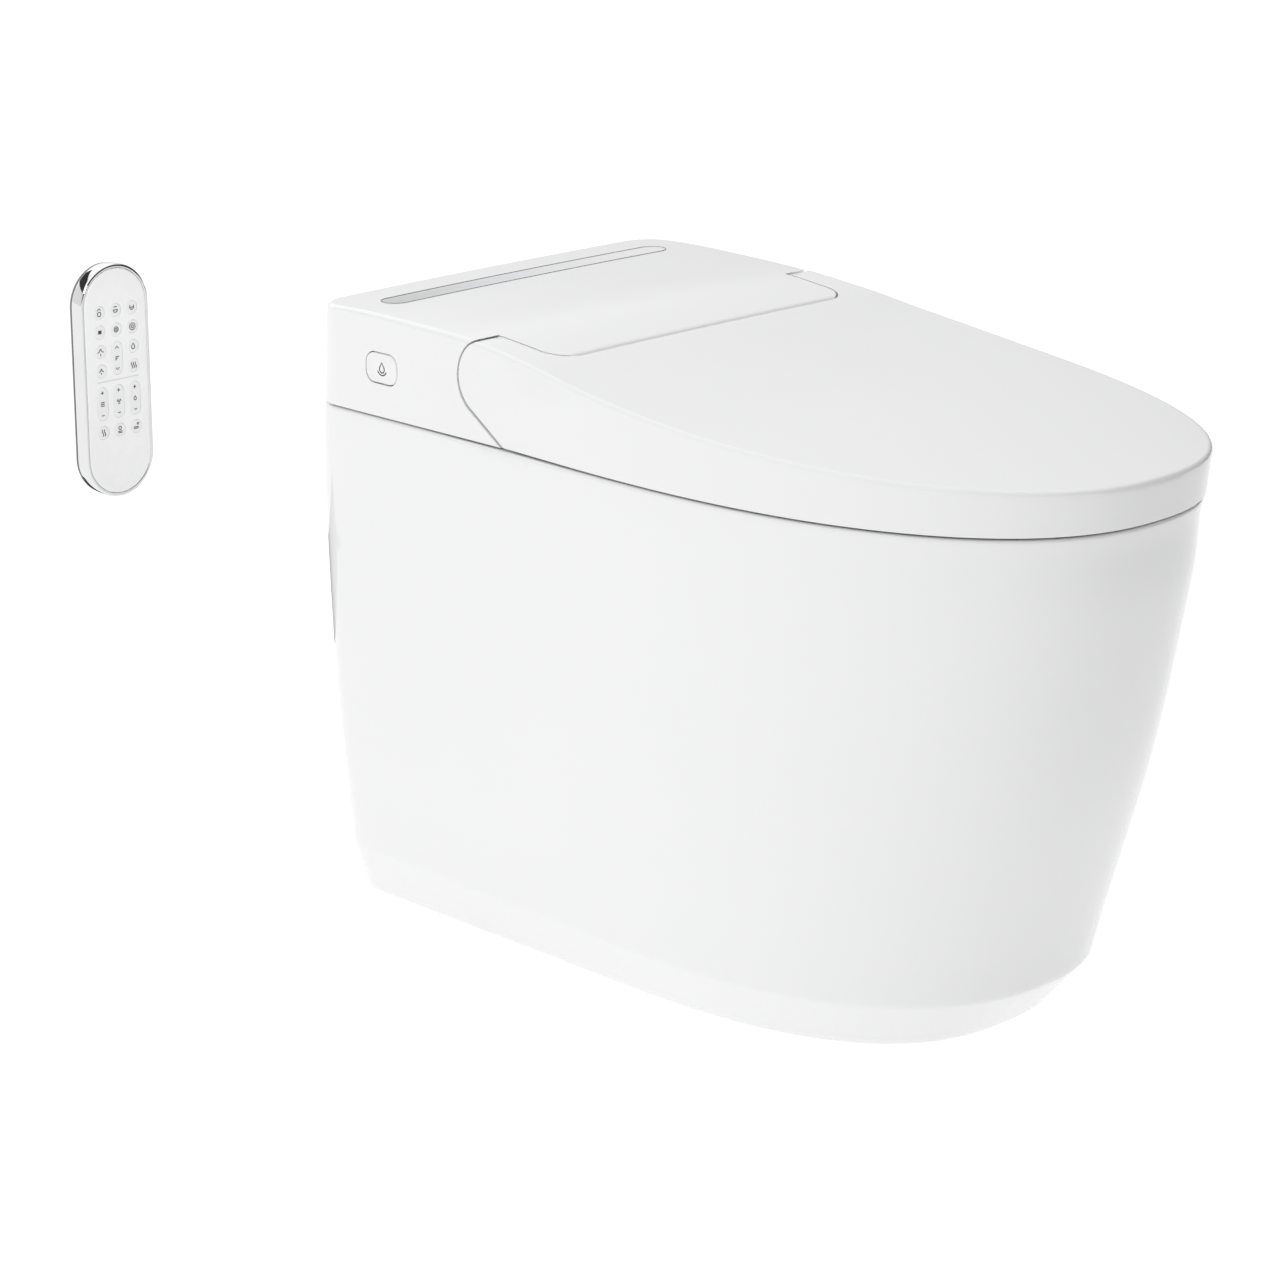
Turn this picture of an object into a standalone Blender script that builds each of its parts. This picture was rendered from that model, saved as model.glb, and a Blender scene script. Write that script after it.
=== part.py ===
"""Floor-standing shower toilet with a bidet seat, its machine under the rear cover, and its wall remote.

Sizes are in millimetres in the constants and helpers; every mesh is written in metres.
The frame: +Z up, the front faces -Y, the origin on the floor at the middle of the back.
"""
import math

import bmesh
import bpy
import numpy as np
from mathutils import Matrix, Vector

MM = 0.001
GAP = 0.35            # clearance between pieces that touch

# ceramic body: half width at the rear and length of the nose, both against height
RIM_Z = 409.2
SIDE_BY_Z = [(0, 149.5), (41, 163.9), (75, 167.5), (128, 173.8), (179, 178.0), (280, 183.2),
             (360, 185.2), (395, 185.0), (RIM_Z, 183.8)]
NOSE_BY_Z = [(0, 563), (41, 601), (65, 607), (117, 622), (210, 649), (318, 671.5), (358, 679),
             (402, 683.5), (RIM_Z, 685.5)]
BELLY_BY_Z = [(0, 0.0), (41, 4.3), (RIM_Z, 6.6)]        # how much wider the body is at its belly
BELLY_Y_BY_Z = [(0, 307), (41, 348), (RIM_Z, 351)]
NOSE_POWER_BY_Z = [(0, 2.55), (41, 2.30), (RIM_Z, 2.32)]
REAR_CORNER = 28
WALL = 16             # ceramic wall
BAY_FLOOR_Z = 300     # machine bay behind the bowl
BAY_X, BAY_FRONT_Y, BAY_REAR_Y = 158, -236, -16
VOID_TOP_Z = 284      # hollow under the bowl and the bay

# bowl: height, half width, half length, centre line
BOWL_RINGS = [(RIM_Z + 4, 133, 186, -447), (RIM_Z - 8, 131, 184, -447), (300, 114, 156, -443),
              (230, 82, 108, -420), (180, 52, 66, -388), (160, 34, 42, -378)]
BOWL_WALL = 12
TRAP_ROUTE = [(0, -372, 190), (0, -330, 178), (0, -285, 205), (0, -240, 240), (0, -200, 236),
              (0, -172, 200), (0, -160, 150), (0, -155, 90), (0, -155, -12)]
TRAP_BORE, TRAP_WALL = 32, 9

# top line seen from the side, from the wall to the nose
TOP_LINE = [(0, 486), (-60, 489.5), (-120, 489.5), (-190, 487), (-225, 483.6), (-255, 480),
            (-300, 473), (-350, 466.6), (-400, 461), (-500, 453), (-600, 447), (-690, 443)]
COVER_Z = 410.8       # lower edge of the rear cover
LID_Z = 411.0         # lower edge of the lid
COVER_SIDE, COVER_TOP_SIDE = 185.6, 182.4
COVER_BACK_Y = -3
CROWN = 1.2
SKIN = 3.0            # wall of the plastic covers
TONGUE_X, TONGUE_Y, TONGUE_CORNER = 155.7, -268.0, 22

# lid arms and hinge
ARM_CENTRE = (-201, 459)
ARM_RADIUS = 29.0
ARM_GAP = 1.7
HINGE_Y, HINGE_Z = -210, 473
PIN_RADIUS, PIN_HOLE = 3.0, 3.4

# seat ring
SEAT_BOTTOM_Z, SEAT_TOP_Z = 414.0, 431.0
SEAT_HALF, SEAT_NOSE, SEAT_REAR_Y = 180.0, 680.0, -273.0
SEAT_HOLE = (105, 148, -452)     # half width, half length, centre line
SEAT_WALL = 4.0

# wash and dryer
WASH_TILT = math.radians(20)
WASH_TIP = (-256, 393)
WASH_LENGTH, WASH_RADIUS = 88, 6.5
WASH_X = 15
APRON = (-54, 104, -330, -214, 377)      # opening in the deck for the wash arms and the dryer

# trim strip on top
STRIP_HALF, STRIP_Y, STRIP_WIDTH, STRIP_SPLIT = 151, -52.5, 24.5, 107

# flush button on the side
BUTTON_Y, BUTTON_Z, BUTTON_LONG, BUTTON_HIGH, BUTTON_CORNER = -85.3, 448.3, 35, 23, 9

# remote and its holder
REMOTE_X, REMOTE_Z = -383.5, 461.3
REMOTE_WIDE, REMOTE_HIGH = 62.0, 175.0
REMOTE_BACK_Y, REMOTE_RIM_Y, REMOTE_FACE_Y = -5.5, -19.4, -20.0
KEY_PITCH_X, KEY_RADIUS, KEY_LENGTH = 14.9, 5.0, 25.0
ROUND_KEY_ROWS = {-1: [53.3, 38.9, 24.2, 9.7, -36.7], 0: [53.3, 38.9, -36.7],
                  1: [53.3, 38.9, 24.2, 9.7, -36.7]}
LONG_KEY_ROWS = {-1: [-15.1], 0: [17.5, -15.1], 1: [-15.1]}
COLUMN_NAMES = {-1: "left", 0: "middle", 1: "right"}

FINISHES = {
    "glazed_ceramic": ((0.90, 0.90, 0.89), 0.06, 0.0),
    "cover_plastic": ((0.88, 0.88, 0.87), 0.16, 0.0),
    "seat_plastic": ((0.86, 0.86, 0.85), 0.22, 0.0),
    "grey_plastic": ((0.32, 0.33, 0.34), 0.50, 0.0),
    "white_plastic": ((0.80, 0.80, 0.79), 0.40, 0.0),
    "panel_glass": ((0.62, 0.66, 0.69), 0.10, 0.0),
    "chrome": ((0.80, 0.80, 0.81), 0.06, 1.0),
    "steel": ((0.60, 0.60, 0.60), 0.28, 1.0),
    "brass": ((0.72, 0.56, 0.28), 0.32, 1.0),
    "rubber": ((0.55, 0.55, 0.55), 0.75, 0.0),
    "circuit_board": ((0.05, 0.22, 0.10), 0.50, 0.0),
    "key_plastic": ((0.84, 0.84, 0.84), 0.40, 0.0),
}


# ---------------------------------------------------------------- scene and finishes

def clear_scene():
    for old in list(bpy.data.objects):
        bpy.data.objects.remove(old, do_unlink=True)


def make_collection(name):
    group = bpy.data.collections.new(name)
    bpy.context.scene.collection.children.link(group)
    return group


def make_finishes():
    made = {}
    for name, (colour, rough, metal) in FINISHES.items():
        finish = bpy.data.materials.new(name)
        finish.use_nodes = True
        shader = finish.node_tree.nodes["Principled BSDF"]
        shader.inputs["Base Color"].default_value = (*colour, 1)
        shader.inputs["Roughness"].default_value = rough
        shader.inputs["Metallic"].default_value = metal
        finish.diffuse_color = (*colour, 1)
        made[name] = finish
    return made


clear_scene()
PARTS = make_collection("shower_toilet")
CUTTERS = make_collection("cutters")
MATERIALS = make_finishes()


def move_to(thing, group):
    for old in list(thing.users_collection):
        old.objects.unlink(thing)
    group.objects.link(thing)


def finish_part(thing, name, finish, origin=None, angle=35):
    """Names a finished piece, gives it its own material and puts its origin where it turns."""
    thing.name = name
    thing.data.name = name
    move_to(thing, PARTS)
    own = MATERIALS[finish].copy()
    own.name = name + "_finish"
    thing.data.materials.clear()
    thing.data.materials.append(own)
    thing.data.shade_smooth()
    thing.data.set_sharp_from_angle(angle=math.radians(angle))
    if origin is not None:
        at = Vector(origin) * MM
        thing.data.transform(Matrix.Translation(-at))
        thing.location = at
    return thing


def as_cutter(thing):
    move_to(thing, CUTTERS)
    thing.hide_render = True
    thing.display_type = "WIRE"
    return thing


def boolean(target, tool, operation):
    as_cutter(tool)
    step = target.modifiers.new(operation.lower(), "BOOLEAN")
    step.operation = operation
    step.solver = "EXACT"
    step.object = tool
    return target


def cut(target, *tools):
    for tool in tools:
        boolean(target, tool, "DIFFERENCE")
    return target


def fuse(target, *tools):
    for tool in tools:
        boolean(target, tool, "UNION")
    return target


def bevel(thing, width, segments=1, angle=40):
    step = thing.modifiers.new("bevel", "BEVEL")
    step.width = width * MM
    step.segments = segments
    step.limit_method = "ANGLE"
    step.angle_limit = math.radians(angle)
    return thing


# ---------------------------------------------------------------- basic shapes

def box(low, high):
    """A box between two corners."""
    low, high = Vector(low) * MM, Vector(high) * MM
    bpy.ops.mesh.primitive_cube_add(size=1)
    thing = bpy.context.object
    size = high - low
    thing.data.transform(Matrix.Diagonal((size.x, size.y, size.z, 1)))
    thing.data.transform(Matrix.Translation((low + high) / 2))
    return thing


def rod(start, end, radius, sides=16):
    """A round bar between two points."""
    start, end = Vector(start) * MM, Vector(end) * MM
    bpy.ops.mesh.primitive_cylinder_add(vertices=sides, radius=radius * MM,
                                        depth=(end - start).length)
    thing = bpy.context.object
    turn = (end - start).to_track_quat("Z", "Y").to_matrix().to_4x4()
    thing.data.transform(Matrix.Translation((start + end) / 2) @ turn)
    return thing


def mesh_of_curve(curve_object):
    """A curve's evaluated mesh with its caps welded on; the curve is removed."""
    bpy.context.view_layer.update()
    evaluated = curve_object.evaluated_get(bpy.context.evaluated_depsgraph_get())
    mesh = bpy.data.meshes.new_from_object(evaluated)
    shape = bmesh.new()
    shape.from_mesh(mesh)
    bmesh.ops.remove_doubles(shape, verts=shape.verts, dist=1e-6)
    bmesh.ops.recalc_face_normals(shape, faces=shape.faces)
    shape.to_mesh(mesh)
    shape.free()
    thing = bpy.data.objects.new("shape", mesh)
    thing.matrix_world = curve_object.matrix_world
    bpy.context.scene.collection.objects.link(thing)
    bpy.data.objects.remove(curve_object, do_unlink=True)
    thing.data.transform(thing.matrix_world)
    thing.matrix_world = Matrix.Identity(4)
    return thing


# each flat outline is drawn in one plane: its two axes, and the one it is thickened along
PLANES = {
    "Z": Matrix(((1, 0, 0, 0), (0, 1, 0, 0), (0, 0, 1, 0), (0, 0, 0, 1))),
    "X": Matrix(((0, 0, 1, 0), (1, 0, 0, 0), (0, 1, 0, 0), (0, 0, 0, 1))),
    "Y": Matrix(((1, 0, 0, 0), (0, 0, -1, 0), (0, 1, 0, 0), (0, 0, 0, 1))),
}


def plate(outlines, along, low, high):
    """Flat closed outlines thickened along an axis; an outline inside another is a hole."""
    curve = bpy.data.curves.new("outline", "CURVE")
    curve.dimensions = "2D"
    curve.fill_mode = "BOTH"
    curve.extrude = (high - low) / 2 * MM
    for outline in outlines:
        spline = curve.splines.new("POLY")
        spline.points.add(len(outline) - 1)
        flat = [value for u, v in outline for value in (u * MM, v * MM, 0, 1)]
        spline.points.foreach_set("co", flat)
        spline.use_cyclic_u = True
    thing = bpy.data.objects.new("outline", curve)
    bpy.context.scene.collection.objects.link(thing)
    shift = Vector((0, 0, 0))
    shift["XYZ".index(along)] = (low + high) / 2 * MM
    thing.matrix_world = Matrix.Translation(shift) @ PLANES[along]
    return mesh_of_curve(thing)


def tube(route, radius, sides_setting=2):
    """A round bar along a route of points."""
    curve = bpy.data.curves.new("tube", "CURVE")
    curve.dimensions = "3D"
    curve.bevel_depth = radius * MM
    curve.bevel_resolution = sides_setting
    curve.use_fill_caps = True
    spline = curve.splines.new("POLY")
    spline.points.add(len(route) - 1)
    spline.points.foreach_set("co", [v for p in route for v in (*(Vector(p) * MM), 1)])
    thing = bpy.data.objects.new("tube", curve)
    bpy.context.scene.collection.objects.link(thing)
    return mesh_of_curve(thing)


def loft(rings):
    """A closed solid through rings of equally many points, each ring a list of x, y, z."""
    shape = bmesh.new()
    rows = [[shape.verts.new(Vector(p) * MM) for p in ring] for ring in rings]
    count = len(rows[0])
    for lower, upper in zip(rows, rows[1:]):
        for i in range(count):
            j = (i + 1) % count
            shape.faces.new((lower[i], lower[j], upper[j], upper[i]))
    shape.faces.new(rows[0][::-1])
    shape.faces.new(rows[-1])
    bmesh.ops.recalc_face_normals(shape, faces=shape.faces)
    mesh = bpy.data.meshes.new("loft")
    shape.to_mesh(mesh)
    shape.free()
    thing = bpy.data.objects.new("loft", mesh)
    bpy.context.scene.collection.objects.link(thing)
    return thing


# ---------------------------------------------------------------- outlines

def by_height(table, z):
    heights, values = zip(*table)
    return float(np.interp(z, heights, values))


def top_height(y):
    ys, zs = zip(*TOP_LINE[::-1])
    return float(np.interp(y, ys, zs))


def arc(centre, radius, start, end, steps):
    """Points on an arc, its angles in degrees."""
    return [(centre[0] + radius * math.cos(math.radians(a)),
             centre[1] + radius * math.sin(math.radians(a)))
            for a in np.linspace(start, end, steps + 1)]


def body_outline(rear, belly, belly_y, nose, power, inset=0.0, back=0.0, corner=REAR_CORNER):
    """Plan of the body: flat back, round rear corners, slightly swelling sides and a
    superellipse nose, given as half widths and distances from the wall, moved in by inset."""
    rear, belly, nose, back = rear - inset, belly - inset, nose - inset, back - inset
    corner = max(corner - inset, 4)
    right = [(0.0, back)]
    right += arc((rear - corner, back - corner), corner, 90, 0, 3)
    right += [(rear + (belly - rear) * t, back - corner - (belly_y + back - corner) * t)
              for t in (0.35, 0.7)]
    turns = [math.pi / 2 * k / 11 for k in range(12)]
    right += [(belly * math.cos(t) ** (2 / power), -belly_y - (nose - belly_y) * math.sin(t) ** (2 / power))
              for t in turns[:-1]]
    right.append((0.0, -nose))
    return right + [(-x, y) for x, y in right[-2:0:-1]]


def body_ring(z, inset=0.0):
    rear = by_height(SIDE_BY_Z, z)
    outline = body_outline(rear, rear + by_height(BELLY_BY_Z, z), by_height(BELLY_Y_BY_Z, z),
                           by_height(NOSE_BY_Z, z), by_height(NOSE_POWER_BY_Z, z), inset)
    return [(x, y, z) for x, y in outline]


def ellipse(half_x, half_y, centre_y, steps=32):
    return [(half_x * math.cos(a), centre_y + half_y * math.sin(a))
            for a in (2 * math.pi * k / steps for k in range(steps))]


def stadium(centre, half_u, half_v, steps=6):
    """A slot shape with round ends along its longer side."""
    u, v = centre
    radius = min(half_u, half_v)
    reach_u, reach_v = half_u - radius, half_v - radius
    if half_u > half_v:
        return (arc((u + reach_u, v), radius, -90, 90, steps)
                + arc((u - reach_u, v), radius, 90, 270, steps))
    return (arc((u, v + reach_v), radius, 0, 180, steps)
            + arc((u, v - reach_v), radius, 180, 360, steps))


def round_box(centre, half_u, half_v, corner, steps=3):
    """A rectangle with round corners."""
    u, v = centre
    points = []
    for quarter, (su, sv) in enumerate(((1, 1), (-1, 1), (-1, -1), (1, -1))):
        middle = (u + su * (half_u - corner), v + sv * (half_v - corner))
        points += arc(middle, corner, quarter * 90, quarter * 90 + 90, steps)
    return points


# ---------------------------------------------------------------- ceramic body

def bowl_rings(extra=0.0, drop=0.0):
    rings = []
    for z, half_x, half_y, centre in BOWL_RINGS:
        rings.append([(x, y, z - drop) for x, y in ellipse(half_x + extra, half_y + extra, centre)])
    return rings


def bowl_outside(extra, over=0.0):
    """The outer shape of the bowl's wall up to the rim, or straight on over it."""
    _, half_x, half_y, centre = BOWL_RINGS[0]
    upper = [RIM_Z + over, RIM_Z] if over else [RIM_Z]
    rims = [[(x, y, z) for x, y in ellipse(half_x + extra, half_y + extra, centre)] for z in upper]
    return loft((rims + bowl_rings(extra, BOWL_WALL)[1:])[::-1])


def apron_cutter(margin=0.0, rear=APRON[3]):
    """The opening behind the bowl that the wash arms and the dryer reach through."""
    left, right, front, _, floor = APRON
    return box((left + margin, front, floor + margin), (right - margin, rear, 430))


def water_holes(radius):
    return [rod((x, -60, 250), (x, -60, 330), radius, 12) for x in (-100, 100)]


def build_ceramic():
    heights = [0, 41, 110, 180, 270, 360, 400, RIM_Z]
    body = loft([body_ring(z) for z in heights])
    hollow = loft([body_ring(z, WALL) for z in (0, 41, 110, 180, VOID_TOP_Z)])
    hollow.data.vertices.foreach_set("co", stretched_down(hollow.data, 12))
    cut(body, hollow)
    cut(body, bowl_outside(BOWL_WALL + GAP, 20))
    cut(body, plate([round_box((0, (BAY_FRONT_Y + BAY_REAR_Y) / 2), BAY_X,
                               (BAY_REAR_Y - BAY_FRONT_Y) / 2, 16)], "Z", BAY_FLOOR_Z, 430))
    cut(body, apron_cutter())
    cut(body, box((-95, -30, 30), (95, 10, 235)))
    cut(body, *water_holes(13))
    finish_part(body, "ceramic_pan", "glazed_ceramic")


def build_bowl():
    """The bowl and its trap, one casting that is set into the pan."""
    bowl = bowl_outside(BOWL_WALL)
    fuse(bowl, tube(TRAP_ROUTE[:-1] + [(0, -155, 0)], TRAP_BORE + TRAP_WALL, 3))
    cut(bowl, loft(bowl_rings()[::-1]))
    cut(bowl, tube(TRAP_ROUTE, TRAP_BORE, 3))
    cut(bowl, apron_cutter())
    finish_part(bowl, "ceramic_bowl", "glazed_ceramic")


def stretched_down(mesh, depth):
    """Vertex places with the lowest ring moved down, so that a cutter passes the floor."""
    places = np.empty(len(mesh.vertices) * 3)
    mesh.vertices.foreach_get("co", places)
    heights = places[2::3]
    heights[heights < 1e-6] = -depth * MM
    return places


# ---------------------------------------------------------------- chassis and rear cover

def build_chassis():
    tray = box((-152, -229, BAY_FLOOR_Z + GAP), (152, -22, 411.4))
    fuse(tray, plate([round_box((0, -109), 176, 98, 24)], "Z", RIM_Z + GAP, 411.5))
    cut(tray, box((-149, -226, BAY_FLOOR_Z + 3), (149, -25, 420)))
    cut(tray, apron_cutter(-0.5, -200))
    cut(tray, *water_holes(9.4))
    finish_part(tray, "chassis_tray", "grey_plastic")


def cover_section(y, inset=0.0):
    """Outline of the rear cover across the toilet at one distance from the wall."""
    depth = COVER_BACK_Y - y
    side, top_side = COVER_SIDE - inset, COVER_TOP_SIDE - inset
    if depth < REAR_CORNER:
        pull = REAR_CORNER - math.sqrt(REAR_CORNER ** 2 - (REAR_CORNER - depth) ** 2)
        side, top_side = side - pull, top_side - pull
    front = y - TONGUE_Y
    if front < TONGUE_CORNER:
        pull = TONGUE_CORNER - math.sqrt(max(TONGUE_CORNER ** 2 - (TONGUE_CORNER - front) ** 2, 0))
        side = top_side = TONGUE_X - inset - pull
    edge = top_height(y) - CROWN - inset - max(0, 5 - depth) * 0.8
    base = COVER_Z - (10 if inset else 0)
    ridge = edge + CROWN
    right = [(side, base), (top_side, edge - 5), (top_side - 1.6, edge - 1.4), (top_side - 6, edge + 0.2),
             (top_side * 0.62, edge + CROWN * 0.62), (0, ridge)]
    return [(x, y, z) for x, z in right] + [(-x, y, z) for x, z in right[-2::-1]]


def cover_solid(inset=0.0):
    stations = [-3, -4.6, -8, -14, -22, -31, -60, -120, -190, -225, -245, -252, -258, -263, -266.5, -268]
    if inset:
        stations = [-6, -14, -22, -31, -60, -120, -190, -225, -245, -252, -258, -263, -265]
    return loft([cover_section(y, inset) for y in stations])


def arm_side(gap):
    """The line that parts the lid arm from the rear cover, seen from the side: up the slope,
    around the back of the round end and onto the top. A larger gap is nearer the wall."""
    return [(-226 + gap * 2.05, 409.0)] + arc(ARM_CENTRE, ARM_RADIUS + gap, -61, 70, 10)


def recess(side, gap, inner):
    """The space in the rear cover that takes one lid arm."""
    line = arm_side(gap)
    outline = [(-320, 400), (line[0][0] - 14, 400)] + line + [(-188 + gap, 505), (-320, 505)]
    low, high = sorted((side * inner, side * 205))
    return plate([outline], "X", low, high)


def build_rear_cover():
    cover = cover_solid()
    hollow = cover_solid(SKIN)
    for side in (-1, 1):
        cut(cover, recess(side, ARM_GAP, TONGUE_X))
        cut(hollow, recess(side, ARM_GAP + SKIN, TONGUE_X - SKIN))
    cut(cover, hollow)
    slot = stadium((0, STRIP_Y), STRIP_HALF, STRIP_WIDTH / 2)
    cut(cover, plate([slot], "Z", 478, 500))
    button_hole = round_box((BUTTON_Y, BUTTON_Z), BUTTON_LONG / 2 + 0.6, BUTTON_HIGH / 2 + 0.6,
                            BUTTON_CORNER + 0.6)
    cut(cover, plate([button_hole], "X", -195, -170))
    cut(cover, box((170, -121.5, 424), (195, -78.5, 448)))
    cut(cover, rod((-170, HINGE_Y, HINGE_Z), (170, HINGE_Y, HINGE_Z), PIN_HOLE, 12))
    finish_part(cover, "rear_cover", "cover_plastic")


def build_panels():
    """The trim strip and the touch panel are cut from the cover's own crowned top."""
    pieces = (("strip_panel", -STRIP_HALF, STRIP_SPLIT, "panel_glass"),
              ("touch_panel", STRIP_SPLIT, STRIP_HALF, "cover_plastic"))
    slot = stadium((0, STRIP_Y), STRIP_HALF - GAP, STRIP_WIDTH / 2 - GAP)
    for name, low, high, finish in pieces:
        panel = cover_solid()
        boolean(panel, plate([slot], "Z", 484.2, 500), "INTERSECT")
        boolean(panel, box((low + GAP / 2, -80, 470), (high - GAP / 2, -20, 500)), "INTERSECT")
        finish_part(panel, name, finish)


def build_flush_button():
    outline = round_box((BUTTON_Y, BUTTON_Z), BUTTON_LONG / 2, BUTTON_HIGH / 2, BUTTON_CORNER)
    button = plate([outline], "X", -184.3, -177)
    finish_part(button, "flush_button", "cover_plastic", (-184.3, BUTTON_Y, BUTTON_Z))


# ---------------------------------------------------------------- lid

def lid_ring(z, inset=0.0):
    drop = (z - LID_Z) / 32
    outline = body_outline(184.2 - drop * 0.75, 190.8 - drop * 1.2, 351, 687 - drop * 2, 2.32, inset,
                           corner=20)
    return [(x, y, z) for x, y in outline]


def lid_side_outline(inset):
    """The lid seen from the side, from the slope at the arm over the top to the nose."""
    line = arm_side(-inset)
    top = [(y, z - inset) for y, z in TOP_LINE if y < -188 - inset]
    start = (line[0][0] - 4, 401.0) if inset else (line[0][0], LID_Z)
    return [start] + line[1:] + top + [(-700, top[-1][1]), (-700, 400 if inset else LID_Z)]


def build_lid():
    lid = loft([lid_ring(z) for z in (LID_Z, 500)])
    boolean(lid, plate([lid_side_outline(0)], "X", -205, 205), "INTERSECT")
    hollow = loft([lid_ring(z, SKIN + 0.2) for z in (400, 500)])
    boolean(hollow, plate([lid_side_outline(SKIN)], "X", -205, 205), "INTERSECT")
    cut(lid, hollow)
    half = TONGUE_X + ARM_GAP
    front = TONGUE_Y - ARM_GAP
    corner = TONGUE_CORNER + ARM_GAP
    notch = ([(half, 20)] + arc((half - corner, front + corner), corner, 0, -90, 5)
             + arc((corner - half, front + corner), corner, -90, -180, 5) + [(-half, 20)])
    cut(lid, plate([notch], "Z", 395, 505))
    for side in (-1, 1):
        fuse(lid, rod((side * 158.2, HINGE_Y, HINGE_Z), (side * 164.2, HINGE_Y, HINGE_Z), 9.8, 16))
        cut(lid, rod((side * 150, HINGE_Y, HINGE_Z), (side * 170, HINGE_Y, HINGE_Z), PIN_HOLE, 12))
        low, high = sorted((side * 165, side * 177.6))
        cut(lid, box((low, -250, 400), (high, -150, 464)))
    finish_part(lid, "lid", "cover_plastic", (0, HINGE_Y, HINGE_Z))


def build_lid_buffers():
    for side, name in ((-1, "left"), (1, "right")):
        pad = rod((side * 50, -640, SEAT_TOP_Z + GAP), (side * 50, -640, 440.6), 7, 12)
        finish_part(pad, "lid_buffer_" + name, "rubber", (0, HINGE_Y, HINGE_Z))


# ---------------------------------------------------------------- seat

def seat_outline(inset=0.0, hole_margin=None):
    outer = body_outline(SEAT_HALF, SEAT_HALF + 4, 351, SEAT_NOSE, 2.32, inset, SEAT_REAR_Y, 18)
    margin = inset if hole_margin is None else hole_margin
    half_x, half_y, centre = SEAT_HOLE
    return [outer, ellipse(half_x + margin, half_y + margin, centre)]


def seat_ear(side):
    """The arm that reaches from the ring up to the hinge, inside the hollow lid arm."""
    line = [(-294, 428), (-294, 418.5), (-280, 418.5)]
    line += arc((HINGE_Y, HINGE_Z), 7.2, -57, 123, 8)
    low, high = sorted((side * 166.6, side * 176))
    return plate([line], "X", low, high)


def build_seat():
    ring = plate(seat_outline(), "Z", SEAT_BOTTOM_Z, SEAT_TOP_Z)
    cut(ring, plate(seat_outline(SEAT_WALL), "Z", SEAT_BOTTOM_Z - 5, SEAT_TOP_Z - SEAT_WALL))
    for side in (-1, 1):
        fuse(ring, seat_ear(side))
        cut(ring, rod((side * 160, HINGE_Y, HINGE_Z), (side * 180, HINGE_Y, HINGE_Z), PIN_HOLE, 12))
    hinge = (0, HINGE_Y, HINGE_Z)
    finish_part(ring, "seat_top", "seat_plastic", hinge)
    base = plate(seat_outline(SEAT_WALL + GAP), "Z", SEAT_BOTTOM_Z + 0.3, SEAT_BOTTOM_Z + 3)
    finish_part(base, "seat_base", "white_plastic", hinge)
    foil = plate(seat_outline(15, 9), "Z", SEAT_TOP_Z - SEAT_WALL - 1.6, SEAT_TOP_Z - SEAT_WALL - 0.4)
    finish_part(foil, "seat_heater", "circuit_board", hinge)
    for row, x, y in (("rear", 150, -335), ("front", 88, -598)):
        for side, name in ((-1, "left"), (1, "right")):
            pad = rod((side * x, y, RIM_Z + 0.3), (side * x, y, SEAT_BOTTOM_Z), 7, 12)
            finish_part(pad, f"seat_buffer_{row}_{name}", "rubber", hinge)


def build_hinges():
    for side, name in ((-1, "left"), (1, "right")):
        pin = rod((side * 144, HINGE_Y, HINGE_Z), (side * 177.4, HINGE_Y, HINGE_Z), PIN_RADIUS, 12)
        finish_part(pin, "hinge_pin_" + name, "steel")
    for side, name in ((-1, "lid_damper"), (1, "seat_damper")):
        damper = rod((side * 100, HINGE_Y, HINGE_Z), (side * (144 - GAP), HINGE_Y, HINGE_Z), 6.8, 16)
        fuse(damper, box((min(side * 104, side * 124), HINGE_Y - 4, 440),
                         (max(side * 104, side * 124), HINGE_Y + 4, HINGE_Z)))
        finish_part(damper, name, "grey_plastic")


# ---------------------------------------------------------------- wash unit

def along_wash(x, distance, lift=0.0):
    """A point on a wash arm, measured back from its tip, and raised square to the arm."""
    y = WASH_TIP[0] + distance * math.cos(WASH_TILT) - lift * math.sin(WASH_TILT)
    z = WASH_TIP[1] + distance * math.sin(WASH_TILT) + lift * math.cos(WASH_TILT)
    return (x, y, z)


def wash_arm(x, spray_count):
    arm = rod(along_wash(x, 0), along_wash(x, WASH_LENGTH), WASH_RADIUS, 16)
    bevel(arm, 1.2, 1, 60)
    for k in range(spray_count):
        start = along_wash(x, 7 + 4.5 * k, WASH_RADIUS - 1.5)
        cut(arm, rod(start, along_wash(x, 7 + 4.5 * k, WASH_RADIUS + 4), 1.1, 8))
    return arm


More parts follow.
